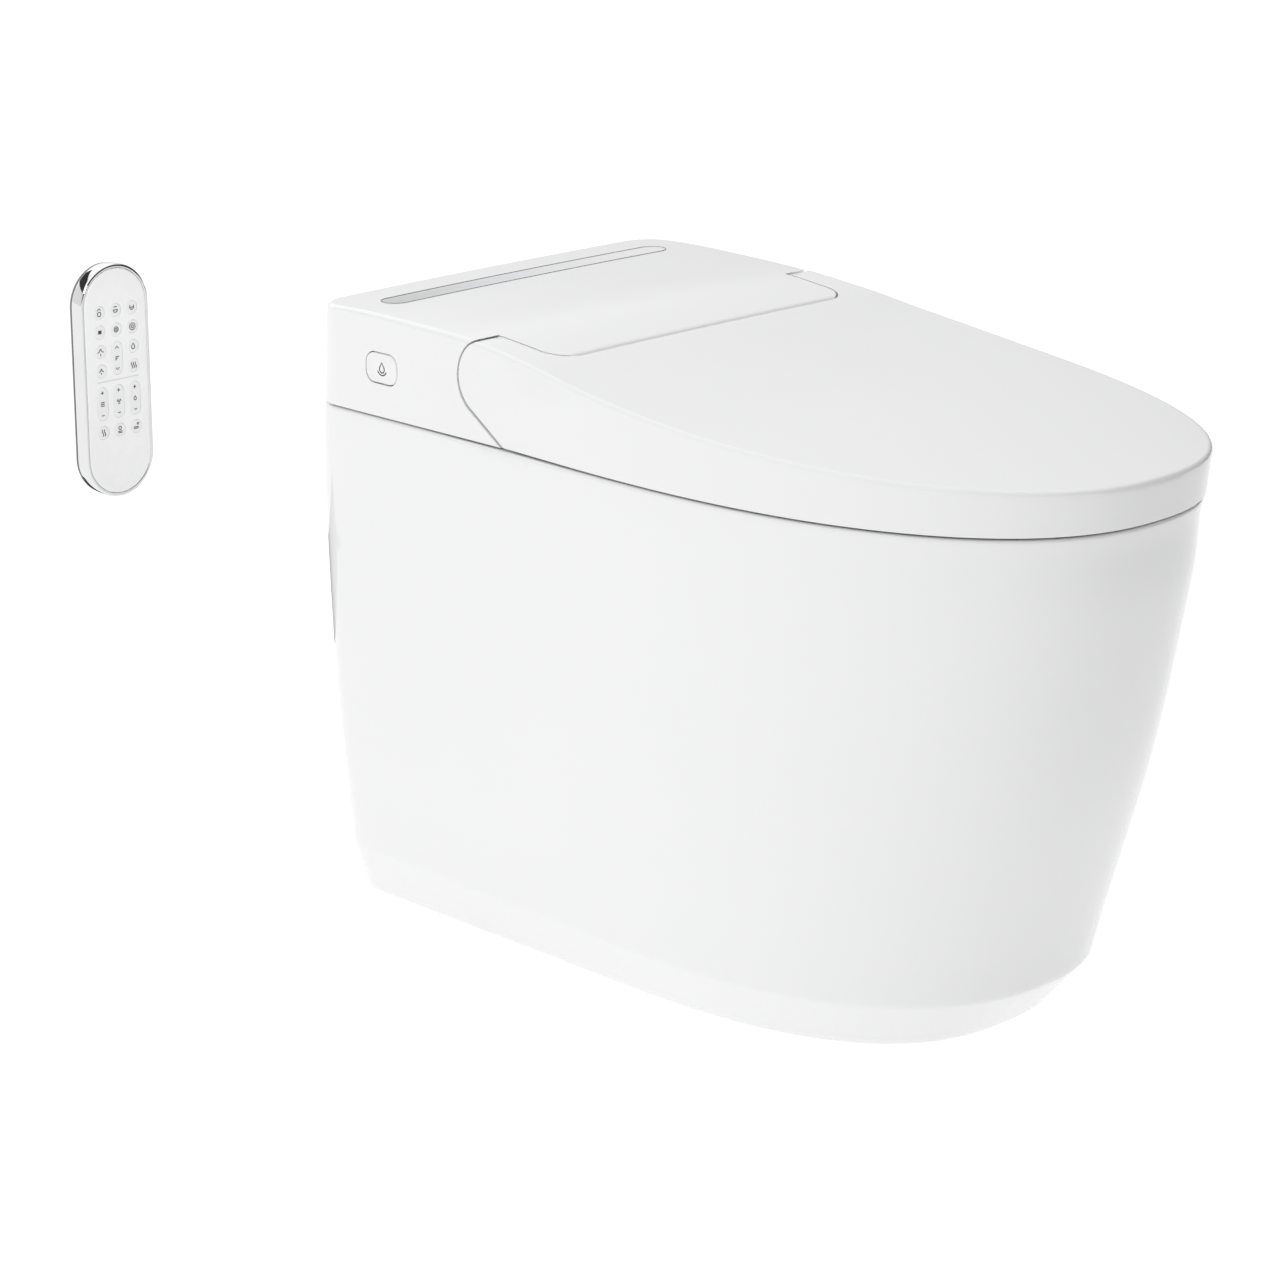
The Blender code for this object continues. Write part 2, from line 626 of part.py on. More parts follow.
def build_wash_unit():
    for x, name, sprays in ((-WASH_X, "rear_wash_nozzle", 1), (WASH_X, "front_wash_nozzle", 2)):
        finish_part(wash_arm(x, sprays), name, "white_plastic", along_wash(x, 0))
    guide = rod(along_wash(0, 22), along_wash(0, 60), 27, 16)
    boolean(guide, box((-27, -260, 380), (27, -180, 411)), "INTERSECT")
    for x in (-WASH_X, WASH_X):
        cut(guide, rod(along_wash(x, 10), along_wash(x, 80), WASH_RADIUS + GAP, 16))
    cut(guide, box((-WASH_X - 6, -260, 398), (-WASH_X + 6, -180, 425)))
    finish_part(guide, "nozzle_guide", "grey_plastic")
    wheel_at = along_wash(-WASH_X, 74, WASH_RADIUS + GAP + 6)
    left, right = (wheel_at[0] + shift for shift in (-4, 4))
    wheel = rod((left, *wheel_at[1:]), (right, *wheel_at[1:]), 6, 16)
    cut(wheel, rod((left - 1, *wheel_at[1:]), (right + 1, *wheel_at[1:]), 2.3, 10))
    finish_part(wheel, "nozzle_drive_wheel", "rubber", wheel_at)
    motor = rod((left - 4, *wheel_at[1:]), (left - 30, *wheel_at[1:]), 9, 16)
    fuse(motor, rod((left - 6, *wheel_at[1:]), (right, *wheel_at[1:]), 1.9, 10))
    finish_part(motor, "nozzle_motor", "steel")
    flap = box((-40, -264.4, 401), (40, -262.6, 409))
    fuse(flap, rod((-40, -263.5, 409), (40, -263.5, 409), 1.6, 8))
    finish_part(flap, "nozzle_shutter", "cover_plastic", (0, -263.5, 409))


# ---------------------------------------------------------------- water and electrics

def build_water_parts():
    floor = BAY_FLOOR_Z + 3 + GAP
    tank = box((-140, -205, floor), (-62, -95, floor + 68))
    fuse(tank, rod((-101, -150, floor + 60), (-101, -150, floor + 80), 8, 12))
    finish_part(bevel(tank, 4), "water_heater", "white_plastic")
    pump = rod((-30, -205, floor + 22), (-30, -140, floor + 22), 20, 16)
    fuse(pump, box((-44, -198, floor), (-16, -148, floor + 10)))
    finish_part(pump, "water_pump", "steel")
    valve = box((-122, -88, floor + 26), (-78, -40, floor + 52))
    fuse(valve, rod((-100, -60, floor + 50), (-100, -60, floor + 78), 11, 12))
    finish_part(valve, "solenoid_valve", "grey_plastic")
    inlet = rod((-100, -60, 268), (-100, -60, floor + 25), 9, 16)
    fuse(inlet, rod((-100, -60, floor + 0.2), (-100, -60, floor + 9), 14, 6))
    finish_part(inlet, "water_inlet", "brass")
    gland = rod((100, -60, 276), (100, -60, floor + 14), 9, 16)
    fuse(gland, rod((100, -60, floor + 0.2), (100, -60, floor + 7), 13, 6))
    cut(gland, rod((100, -60, 260), (100, -60, floor + 30), 4, 12))
    finish_part(gland, "mains_gland", "grey_plastic")


def build_dryer():
    fan_x, fan_y, low, high = 112, -128, 352, 392
    housing = rod((fan_x, fan_y, low), (fan_x, fan_y, high), 34, 24)
    duct = box((62, -262, 386), (98, fan_y, 411))
    fuse(housing, duct)
    cut(housing, rod((fan_x, fan_y, low + 2), (fan_x, fan_y, high - 2), 32, 24))
    cut(housing, box((64, -270, 388), (96, fan_y - 4, 409)))
    cut(housing, rod((fan_x, fan_y, high - 4), (fan_x, fan_y, high + 6), 15, 20))
    finish_part(housing, "fan_housing", "grey_plastic")
    impeller = rod((fan_x, fan_y, low + 5), (fan_x, fan_y, low + 8), 26, 24)
    fuse(impeller, rod((fan_x, fan_y, low + 5), (fan_x, fan_y, high - 10), 7, 12))
    for k in range(10):
        turn = 2 * math.pi * k / 10
        blade = box((9, -0.9, 0), (25, 0.9, 22))
        blade.data.transform(Matrix.Translation(Vector((fan_x, fan_y, low + 7)) * MM)
                             @ Matrix.Rotation(turn, 4, "Z"))
        fuse(impeller, blade)
    finish_part(impeller, "fan_impeller", "white_plastic", (fan_x, fan_y, low))
    flap = box((64.5, -265.4, 387), (95.5, -263.6, 407.6))
    fuse(flap, rod((64.5, -264.5, 408), (95.5, -264.5, 408), 1.6, 8))
    finish_part(flap, "dryer_flap", "cover_plastic", (80, -264.5, 408))
    cartridge = box((136, -119.5, 425.5), (181.8, -80.5, 446.5))
    fuse(cartridge, box((181, -121, 424.5), (184.4, -79, 447.5)))
    for k in range(5):
        cut(cartridge, box((140, -116 + 7.4 * k, 420), (176, -112.5 + 7.4 * k, 450)))
    finish_part(cartridge, "deodoriser_filter", "white_plastic", (136, -100, 436))


def build_electrics():
    floor = BAY_FLOOR_Z + 3 + GAP
    supply = box((20, -205, floor), (74, -60, floor + 42))
    finish_part(bevel(supply, 2), "power_supply", "grey_plastic")
    board = box((-130, -170, 452), (60, -90, 453.6))
    for low, high in (((-110, -150), (-80, -125)), ((-60, -160), (-20, -120)), ((0, -140), (30, -110))):
        fuse(board, box((*low, 453), (*high, 460)))
    finish_part(board, "control_board", "circuit_board")


# ---------------------------------------------------------------- remote

def remote_plate(half_trim, low, high, steps=8):
    outline = stadium((REMOTE_X, REMOTE_Z), REMOTE_WIDE / 2 - half_trim, REMOTE_HIGH / 2 - half_trim, steps)
    return plate([outline], "Y", low, high)


def build_wall_holder():
    holder = box((REMOTE_X - 18, -4.9, 447), (REMOTE_X + 18, 0, 500))
    fuse(holder, box((REMOTE_X - 8, -8.2, 474), (REMOTE_X + 8, -4, 480)))
    finish_part(holder, "wall_holder", "white_plastic")


def build_remote():
    body = remote_plate(0, REMOTE_RIM_Y, REMOTE_BACK_Y)
    bevel(body, 2.2, 2, 60)
    cut(body, remote_plate(2.8, REMOTE_RIM_Y - 5, -16.2))
    cut(body, remote_plate(5.0, -17, -8))
    cut(body, box((REMOTE_X - 8.6, -12, 450), (REMOTE_X + 8.6, 0, 480.35)))
    cut(body, box((REMOTE_X - 12, -12, 388), (REMOTE_X + 12, 0, 426)))
    origin = (REMOTE_X, REMOTE_BACK_Y, REMOTE_Z)
    finish_part(body, "remote_body", "chrome", origin)
    face = remote_plate(2.8 + GAP, REMOTE_FACE_Y, -16.6)
    for name, (x, z), length in key_places():
        cut(face, key_solid(x, z, length, KEY_RADIUS + GAP, -30, 0))
    finish_part(face, "remote_face", "cover_plastic", origin)
    board = remote_plate(7, -14.8, -13.4)
    finish_part(board, "remote_board", "circuit_board", origin)
    cover = box((REMOTE_X - 14, REMOTE_BACK_Y + 0.3, 386), (REMOTE_X + 14, -3.4, 425.5))
    finish_part(bevel(cover, 0.5), "battery_cover", "white_plastic", (REMOTE_X, -3.4, 405))


def key_places():
    for column, rows in ROUND_KEY_ROWS.items():
        for count, row in enumerate(rows, 1):
            yield (f"key_{COLUMN_NAMES[column]}_{count}",
                   (REMOTE_X + column * KEY_PITCH_X, REMOTE_Z + row), 0)
    for column, rows in LONG_KEY_ROWS.items():
        for count, row in enumerate(rows, 1):
            yield (f"rocker_{COLUMN_NAMES[column]}_{count}",
                   (REMOTE_X + column * KEY_PITCH_X, REMOTE_Z + row), KEY_LENGTH)


def key_solid(x, z, length, radius, low, high):
    if not length:
        return rod((x, low, z), (x, high, z), radius, 14)
    grow = radius - KEY_RADIUS
    return plate([stadium((x, z), radius, length / 2 + grow)], "Y", low, high)


def build_keys():
    for name, (x, z), length in key_places():
        key = key_solid(x, z, length, KEY_RADIUS, REMOTE_FACE_Y - 0.3, -15.8)
        finish_part(key, name, "key_plastic", (x, REMOTE_FACE_Y, z))


def build_all():
    build_ceramic()
    build_bowl()
    build_chassis()
    build_rear_cover()
    build_panels()
    build_flush_button()
    build_lid()
    build_lid_buffers()
    build_seat()
    build_hinges()
    build_wash_unit()
    build_water_parts()
    build_dryer()
    build_electrics()
    build_wall_holder()
    build_remote()
    build_keys()


build_all()
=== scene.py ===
import math

import bmesh
import bpy
import numpy as np
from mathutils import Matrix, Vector


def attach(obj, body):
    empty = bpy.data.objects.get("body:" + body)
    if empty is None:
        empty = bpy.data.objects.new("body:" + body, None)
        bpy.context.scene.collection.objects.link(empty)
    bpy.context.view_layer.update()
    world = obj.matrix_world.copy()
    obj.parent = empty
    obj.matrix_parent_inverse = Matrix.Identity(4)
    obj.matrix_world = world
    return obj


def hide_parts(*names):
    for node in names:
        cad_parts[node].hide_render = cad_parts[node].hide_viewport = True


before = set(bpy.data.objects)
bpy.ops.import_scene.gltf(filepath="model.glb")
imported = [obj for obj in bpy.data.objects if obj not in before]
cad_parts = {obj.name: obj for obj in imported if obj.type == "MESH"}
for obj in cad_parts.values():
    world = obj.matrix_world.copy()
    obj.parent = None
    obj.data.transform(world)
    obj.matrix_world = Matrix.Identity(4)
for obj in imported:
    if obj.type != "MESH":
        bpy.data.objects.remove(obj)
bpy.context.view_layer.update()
mm = 0.001

# camera, floor and light

cameraPlace = {"lens": 109.62, "at": (-2.08228, -2.27373, 1.13203), "azimuth": -44.83, "elevation": 17.29}


def hang(name, data, place, aim=None):
    # a thing of the studio at its place; with an aim its own Z axis points away from it
    thing = bpy.data.objects.new(name, data)
    thing.location = place
    if aim:
        thing.rotation_euler = (Vector(place) - Vector(aim)).to_track_quat("Z", "Y").to_euler()
    bpy.context.scene.collection.objects.link(thing)
    return thing


def sheet(name, halfX, halfY, finish):
    # a flat rectangle about its own middle
    flat = bpy.data.meshes.new(name)
    flat.from_pydata([(-halfX, -halfY, 0), (halfX, -halfY, 0), (halfX, halfY, 0), (-halfX, halfY, 0)],
                     [], [(0, 1, 2, 3)])
    flat.materials.append(finish)
    return flat


def addCamera(settings):
    lens = bpy.data.cameras.new("camera")
    lens.lens = settings["lens"]
    camera = hang("camera", lens, settings["at"])
    turn, lift = math.radians(settings["azimuth"]), math.radians(settings["elevation"])
    back = Vector((math.sin(turn) * math.cos(lift), -math.cos(turn) * math.cos(lift), math.sin(lift)))
    camera.rotation_euler = back.to_track_quat("Z", "Y").to_euler()
    bpy.context.scene.camera = camera


# shader sockets as Python values

class Wire:
    # one socket of a material; sums and products of wires add Math nodes, make adds any other node
    def __init__(self, tree, socket=None):
        self.tree, self.socket = tree, socket

    def make(self, kind, settings=None, inputs=None, output=0):
        node = self.tree.nodes.new("ShaderNode" + kind)
        for key, value in (settings or {}).items():
            if key == "stops":
                while len(node.color_ramp.elements) < len(value):
                    node.color_ramp.elements.new(0.5)
                for element, (place, shade) in zip(node.color_ramp.elements, value):
                    element.position = place
                    element.color = (*shade, 1)
            else:
                setattr(node, key, value)
        for key, value in (inputs or {}).items():
            if isinstance(value, Wire):
                self.tree.links.new(value.socket, node.inputs[key])
            else:
                node.inputs[key].default_value = value
        return Wire(self.tree, node.outputs[output])

    def sum(self, operation, first, second):
        return self.make("Math", {"operation": operation}, {0: first, 1: second})

    def __add__(self, other):
        return self.sum("ADD", self, other)

    def __sub__(self, other):
        return self.sum("SUBTRACT", self, other)

    def __rsub__(self, other):
        return self.sum("SUBTRACT", other, self)

    def __mul__(self, other):
        return self.sum("MULTIPLY", self, other)

    __radd__, __rmul__ = __add__, __mul__


def look(first, second, rough, cloud, grain, depth, **more):
    # a finish: two shades that cloud into each other, roughness from low to high, the size in
    # metres of its clouds and of its grain, how deep the grain is in metres, and, where it has
    # them, how strong its clear coat is, how far it is metal and how its grain is drawn out
    return {"shades": (first, second), "rough": rough, "cloud": cloud, "grain": grain, "depth": depth, **more}


finishes = {
    "glaze": look((0.865, 0.868, 0.872), (0.885, 0.886, 0.888), (0.05, 0.11), 0.16, 0.006, 0.00001, coat=0.3),
    "shell": look((0.862, 0.864, 0.868), (0.88, 0.881, 0.883), (0.1, 0.17), 0.12, 0.0016, 0.000003, coat=0.2),
    "seatSkin": look((0.85, 0.852, 0.855), (0.87, 0.871, 0.872), (0.16, 0.24), 0.09, 0.0011, 0.000005, coat=0.1),
    "buttonSkin": look((0.87, 0.87, 0.872), (0.89, 0.89, 0.89), (0.12, 0.2), 0.02, 0.0009, 0.000003, coat=0.1),
    "faceSkin": look((0.875, 0.877, 0.88), (0.89, 0.891, 0.893), (0.22, 0.32), 0.03, 0.0005, 0.000004),
    "keySkin": look((0.82, 0.822, 0.826), (0.84, 0.842, 0.845), (0.4, 0.5), 0.01, 0.0004, 0.000006),
    "greyPlastic": look((0.2, 0.205, 0.21), (0.26, 0.265, 0.27), (0.42, 0.58), 0.05, 0.0009, 0.00003),
    "whitePlastic": look((0.74, 0.74, 0.735), (0.79, 0.79, 0.785), (0.32, 0.44), 0.05, 0.0009, 0.00001),
    "rubber": look((0.5, 0.5, 0.5), (0.58, 0.58, 0.575), (0.66, 0.82), 0.01, 0.0007, 0.00003),
    "steel": look((0.56, 0.56, 0.57), (0.66, 0.66, 0.66), (0.2, 0.34), 0.02, 0.0006, 0.000008, metal=1.0,
                  drawn=(1, 9, 9)),
    "brass": look((0.66, 0.5, 0.24), (0.76, 0.6, 0.32), (0.24, 0.4), 0.02, 0.0008, 0.00001, metal=1.0),
    "chrome": look((0.72, 0.722, 0.73), (0.79, 0.79, 0.795), (0.03, 0.07), 0.05, 0.002, 0.000001, metal=1.0),
    # painted shade: the grey of the band that stands for the shadow in the gap round the strip
    "gapShadeGrey": look((0.3, 0.302, 0.306), (0.34, 0.342, 0.346), (0.45, 0.6), 0.01, 0.0004, 0.000004),
    "paleInk": look((0.66, 0.662, 0.666), (0.69, 0.692, 0.696), (0.45, 0.6), 0.004, 0.0003, 0.000002),
    "ink": look((0.03, 0.031, 0.033), (0.05, 0.051, 0.054), (0.45, 0.6), 0.004, 0.0003, 0.000002)}


def startMaterial(name):
    material = bpy.data.materials.new(name)
    material.use_nodes = True
    return material, Wire(material.node_tree), material.node_tree.nodes["Principled BSDF"]


def cloudy(tree, place, size, detail=2.0):
    return tree.make("TexNoise", None, {"Vector": place, "Scale": 1 / size, "Detail": detail})


def mixed(tree, share, first, second):
    # a colour between two shades
    return tree.make("Mix", {"data_type": "RGBA"}, {"Factor": share, 6: (*first, 1), 7: (*second, 1)}, 2)


def plainFinish(name):
    # clouded colour and roughness, with a fine grain in the bump
    made = finishes[name]
    material, tree, shader = startMaterial(name)
    place = tree.make("TexCoord", output="Object")
    if "drawn" in made:
        place = tree.make("Mapping", None, {"Vector": place, "Scale": made["drawn"]})
    cloud = cloudy(tree, place, made["cloud"])
    grain = cloudy(tree, place, made["grain"], 3.0)
    colour = mixed(tree, cloud, *made["shades"])
    low, high = made["rough"]
    rough = cloud * ((high - low) * 0.7) + grain * ((high - low) * 0.3) + low
    bump = tree.make("Bump", None, {"Height": grain, "Distance": made["depth"], "Strength": 1.0})
    for target, value in (("Base Color", colour), ("Roughness", rough), ("Normal", bump)):
        tree.tree.links.new(value.socket, shader.inputs[target])
    shader.inputs["Metallic"].default_value = made.get("metal", 0.0)
    shader.inputs["Coat Weight"].default_value = made.get("coat", 0.0)
    shader.inputs["Coat Roughness"].default_value = 0.03
    return material


def stripFinish():
    # the glass strip runs from grey at its left end through pale blue to white at the right
    material, tree, shader = startMaterial("stripGlass")
    place = tree.make("TexCoord", output="Object")
    along = tree.make("SeparateXYZ", None, {0: place}, 0)
    low, high = -151 * mm, 107 * mm
    share = (along - low) * (1 / (high - low))
    cloud = cloudy(tree, place, 0.03)
    ramp = tree.make("ValToRGB", {"stops": ((0.0, (0.46, 0.465, 0.475)), (0.25, (0.58, 0.59, 0.605)),
                                            (0.45, (0.70, 0.715, 0.735)), (0.72, (0.80, 0.805, 0.815)),
                                            (1.0, (0.875, 0.876, 0.878)))}, {0: share + (cloud - 0.5) * 0.06})
    tree.tree.links.new(ramp.socket, shader.inputs["Base Color"])
    tree.tree.links.new((cloud * 0.05 + 0.05).socket, shader.inputs["Roughness"])
    shader.inputs["Coat Weight"].default_value = 0.4
    shader.inputs["Coat Roughness"].default_value = 0.02
    return material


def boardFinish(name, ground, copper, pitch):
    # copper tracks run as bands over a lacquered sheet
    material, tree, shader = startMaterial(name)
    place = tree.make("TexCoord", output="Object")
    cloud = cloudy(tree, place, 0.01)
    tracks = tree.make("TexWave", None,
                       {"Vector": place, "Scale": 1 / pitch, "Distortion": 2.0, "Detail": 0.0}, 1)
    shown = tree.make("ValToRGB", {"stops": ((0.55, (0, 0, 0)), (0.62, (1, 1, 1)))}, {0: tracks})
    colour = mixed(tree, shown, ground, copper)
    bump = tree.make("Bump", None, {"Height": shown, "Distance": 0.00003, "Strength": 1.0})
    tree.tree.links.new(colour.socket, shader.inputs["Base Color"])
    tree.tree.links.new((cloud * 0.2 + 0.35).socket, shader.inputs["Roughness"])
    tree.tree.links.new(bump.socket, shader.inputs["Normal"])
    return material


material = {name: plainFinish(name) for name in finishes}
material["stripGlass"] = stripFinish()
material["circuit"] = boardFinish("circuit", (0.03, 0.16, 0.07), (0.07, 0.28, 0.12), 0.012)
material["heaterFoil"] = boardFinish("heaterFoil", (0.55, 0.30, 0.10), (0.74, 0.70, 0.62), 0.03)
print("finishes made:", len(material))


def makeCard(place, aim, size, shades):
    # a dark card out of the camera's sight: it shows in reflections, and dims the light if it shades
    finish, _, shader = startMaterial("cardBlack")
    shader.inputs["Base Color"].default_value = (0.01, 0.01, 0.01, 1)
    card = hang("card", sheet("card", size[0] / 2, size[1] / 2, finish), place, aim)
    card.visible_camera = card.visible_shadow = card.visible_transmission = False
    card.visible_diffuse = shades


def eased(tree, value, low, high, first, last):
    # goes smoothly from the first amount to the last while the value goes from low to high
    return tree.make("MapRange", {"interpolation_type": "SMOOTHSTEP"},
                     {"Value": value, "From Min": low, "From Max": high, "To Min": first, "To Max": last})


def dressStudio(settings):
    # the sky is brightest overhead, dims low down towards the right front, and has a glow above
    # the horizon at the right back that the tops mirror
    world = bpy.data.worlds.new("studio")
    bpy.context.scene.world = world
    world.use_nodes = True
    tree = Wire(world.node_tree)
    place = tree.make("TexCoord", output="Generated")
    toSide, toBack = (tree.make("VectorMath", {"operation": "DOT_PRODUCT"}, {0: place, 1: settings[way]}, 1)
                      for way in ("dimTowards", "glowTowards"))
    toTop = tree.make("SeparateXYZ", None, {0: place}, 2)
    side = eased(tree, toSide, settings["dimFrom"], settings["dimTo"], 0.0, settings["sideDim"])
    low = eased(tree, toTop, settings["lowFrom"], settings["lowTo"], 1.0, 0.0)
    back = eased(tree, toBack, settings["backFrom"], settings["backTo"], 0.0, settings["backGlow"])
    above = eased(tree, toTop, settings["glowFrom"], settings["glowTo"], 0.0, 1.0)
    level = settings["level"]
    strength = (1 - side * low) * (1 + back * above) * ((1 - low) * (settings["overhead"] - level) + level)
    # the camera itself sees plain white
    seen = tree.make("LightPath")
    strength = strength * (1 - seen) + seen
    sky = world.node_tree.nodes["Background"]
    sky.inputs["Color"].default_value = (1, 1, 1, 1)
    world.node_tree.links.new(strength.socket, sky.inputs["Strength"])

    floorMaterial, tree, shader = startMaterial("floorPaper")
    cloud = cloudy(tree, tree.make("TexCoord", output="Object"), 0.8)
    colour = mixed(tree, cloud, (0.28, 0.28, 0.28), (0.32, 0.32, 0.32))
    tree.tree.links.new(colour.socket, shader.inputs["Base Color"])
    shader.inputs["Roughness"].default_value = 1.0
    shader.inputs["Specular IOR Level"].default_value = 0.0
    shader.inputs["Emission Color"].default_value = (1, 1, 1, 1)
    shader.inputs["Emission Strength"].default_value = settings["floorGlow"]
    half = settings["floorHalf"]
    hang("floor", sheet("floor", half, half, floorMaterial), (0, 0, settings["floorLevel"]))

    for place, aim, size, power in settings["lamps"]:
        lamp = bpy.data.lights.new("softbox", "AREA")
        lamp.shape = "RECTANGLE"
        lamp.size, lamp.size_y = size
        lamp.energy = power
        hang("softbox", lamp, place, aim)
    place, aim, angle, power = settings["spot"]
    beam = bpy.data.lights.new("remoteSpot", "SPOT")
    beam.energy, beam.spot_size = power, math.radians(angle)
    beam.spot_blend, beam.shadow_soft_size = settings["spotSoft"]
    hang("remoteSpot", beam, place, aim)
    for card in settings["cards"]:
        makeCard(*card)
    bpy.context.scene.view_settings.view_transform = "Standard"


studio = {"level": 0.90, "overhead": 1.2, "lowFrom": 0.35, "lowTo": 0.97, "dimTowards": (0.66, -0.75, 0.0),
          "dimFrom": -0.3, "dimTo": 0.6, "sideDim": 1.0, "glowTowards": (0.7, 0.7, 0.0), "backGlow": 0.45,
          "backFrom": 0.3, "backTo": 0.8, "glowFrom": 0.22, "glowTo": 0.33, "floorGlow": 0.82, "floorHalf": 30,
          "floorLevel": -0.0004, "spotSoft": (0.6, 0.15),
          "lamps": [((-1.6, -0.6, 2.6), (0, -0.3, 0.3), (1.6, 1.6), 2.5)],
          "spot": ((-0.75, -1.3, 0.95), (-0.384, -0.02, 0.51), 15, 26),
          "cards": [((-0.56, 0.26, 0.76), (-0.384, -0.01, 0.50), (0.60, 0.14), False),
                    ((-0.24, 0.24, 0.20), (-0.384, -0.01, 0.44), (0.40, 0.10), False),
                    ((0.62, -1.50, 0.36), (0.0, -0.70, 0.36), (1.1, 0.48), True)]}
addCamera(cameraPlace)
dressStudio(studio)
print("studio ready")

# surfaces from grids of points; two points nearer than sameSpot (in millimetres) count as one

sameSpot = 0.02


def quads(rows, columns):
    # faces between neighbouring rows of rings; each ring closes on itself
    r = np.arange(rows - 1)[:, None] * columns
    c = np.arange(columns)[None, :]
    n = (c + 1) % columns
    return np.stack(np.broadcast_arrays(r + c, r + n, r + columns + n, r + columns + c), -1).reshape(-1, 4)


def newPiece(name, points, faces):
    # a closed mesh; if its volume comes out negative its faces are turned round
    mesh = bpy.data.meshes.new(name)
    mesh.from_pydata(np.asarray(points, float).tolist(), [], faces)
    shape = bmesh.new()
    shape.from_mesh(mesh)
    if shape.calc_volume(signed=True) < 0:
        bmesh.ops.reverse_faces(shape, faces=shape.faces)
    shape.to_mesh(mesh)
    shape.free()
    piece = bpy.data.objects.new(name, mesh)
    bpy.context.scene.collection.objects.link(piece)
    return piece


def ringSolid(name, rings, poles=(False, False)):
    # rings of points from one end to the other, in millimetres, counter-clockwise about the way
    # they go; each end closes with one flat face, or with a fan to its mean point
    rings = np.asarray(rings, float)
    rows, columns = rings.shape[:2]
    points = list(rings.reshape(-1, 3))
    faces = quads(rows, columns).tolist()
    for pole, start, order in ((poles[0], 0, -1), (poles[1], (rows - 1) * columns, 1)):
        loop = [start + k for k in range(columns)][::order]
        if pole:
            centre = len(points)
            points.append(rings[0 if order < 0 else -1].mean(0))
            faces += [[centre, a, b] for a, b in zip(loop, loop[1:] + loop[:1])]
        else:
            faces.append(loop)
    return newPiece(name, np.array(points) * mm, faces)


def ribbonLoop(name, sections):
    # a closed ring: sections one after the other, each a closed outline of points
    sections = np.asarray(sections, float)
    rows, columns = sections.shape[:2]
    return newPiece(name, sections.reshape(-1, 3) * mm, (quads(rows + 1, columns) % (rows * columns)).tolist())


def placed(outline, along, level):
    # a flat outline set square to one axis; its two numbers are the other two axes in order
    outline = np.asarray(outline, float)
    level = np.broadcast_to(np.asarray(level, float), outline.shape[:-1])[..., None]
    first, second = outline[..., :1], outline[..., 1:2]
    order = {"X": (level, first, second), "Y": (first, level, second), "Z": (first, second, level)}[along]
    return np.concatenate(order, -1)


def prism(outline, along, low, high):
    # a flat outline pushed along an axis; points that lie on the next one are left out
    outline = np.asarray(outline, float)
    outline = outline[np.hypot(*(np.roll(outline, -1, 0) - outline).T) > sameSpot]
    return ringSolid("tool", [placed(outline, along, level) for level in (low, high)])


def roundBox(centre, half, corners, steps=10):
    # a rectangle whose four corners are arcs, from the top right one round to the bottom right
    corners = np.broadcast_to(np.asarray(corners, float), 4)
    turn = np.radians(np.linspace(0, 90, steps + 1))
    parts = []
    for quarter, (su, sv) in enumerate(((1, 1), (-1, 1), (-1, -1), (1, -1))):
        radius = max(corners[quarter], 1e-4)
        angle = turn + quarter * math.pi / 2
        parts.append(np.stack([centre[0] + su * (half[0] - radius) + radius * np.cos(angle),
                               centre[1] + sv * (half[1] - radius) + radius * np.sin(angle)], -1))
    return np.concatenate(parts)


def box(low, high):
    outline = [(low[0], low[1]), (high[0], low[1]), (high[0], high[1]), (low[0], high[1])]
    return prism(outline, "Z", low[2], high[2])


def padSolid(name, along, centre, half, corners, profile, steps=10, lift=None):
    # a rounded plate: each row of the profile is how far its outline is moved in and where it is
    # along the axis, then rows narrow across it to its middle line; lift adds a height by place
    corners = np.broadcast_to(np.asarray(corners, float), 4)
    start = roundBox(centre, half, corners, steps)
    across = int(half[0] >= half[1])
    rows = []
    for inset, level in profile:
        inner = (half[0] - inset, half[1] - inset)
        rows.append((roundBox(centre, inner, np.maximum(corners - inset, 0.02), steps), level))
    for share in (0.8, 0.6, 0.4, 0.2, 0.02):
        outline = rows[len(profile) - 1][0].copy()
        outline[:, across] = centre[across] + (outline[:, across] - centre[across]) * share
        rows.append((outline, profile[-1][1]))
    keep = spread(start, 7.0)
    rows = [(pointsAt(flat, keep), level) for flat, level in rows]
    return ringSolid(name, [placed(flat, along, level + lift(flat) if lift else level) for flat, level in rows])


def spread(outline, longest):
    # where to put points along a closed outline, counted in its own points, so that none of its
    # sides is longer than the length given; a side with no length gets no point
    sides = np.hypot(*(np.roll(outline, -1, 0) - outline).T)
    counts = np.where(sides > sameSpot, np.maximum(1, np.ceil(sides / longest)), 0).astype(int)
    return np.concatenate([k + np.arange(n) / n for k, n in enumerate(counts) if n])


def pointsAt(outline, places):
    # points of a closed outline at the places given, counted in its own points
    count = np.arange(len(outline) + 1)
    return np.stack([np.interp(places, count, np.append(outline[:, k], outline[0, k])) for k in (0, 1)], -1)


def closedLine(outline, longest):
    # a closed outline with points no further apart than the length given, ending where it starts
    points = pointsAt(outline, spread(outline, longest))
    return np.concatenate([points, points[:1]])


def turned(name, start, direction, profile, sides=32):
    # a round piece: its profile of distance and radius turned about an axis
    along = Vector(direction).normalized()
    across = along.orthogonal().normalized()
    third = along.cross(across)
    angle = np.linspace(0, 2 * math.pi, sides, endpoint=False)
    ring = np.outer(np.cos(angle), across) + np.outer(np.sin(angle), third)
    rows = [np.array(start) + distance * np.array(along) + radius * ring for distance, radius in profile]
    return ringSolid(name, rows, (True, True))


def rod(start, end, radius, sides=24):
    reach = Vector(end) - Vector(start)
    return turned("tool", start, reach, [(0, radius), (reach.length, radius)], sides)


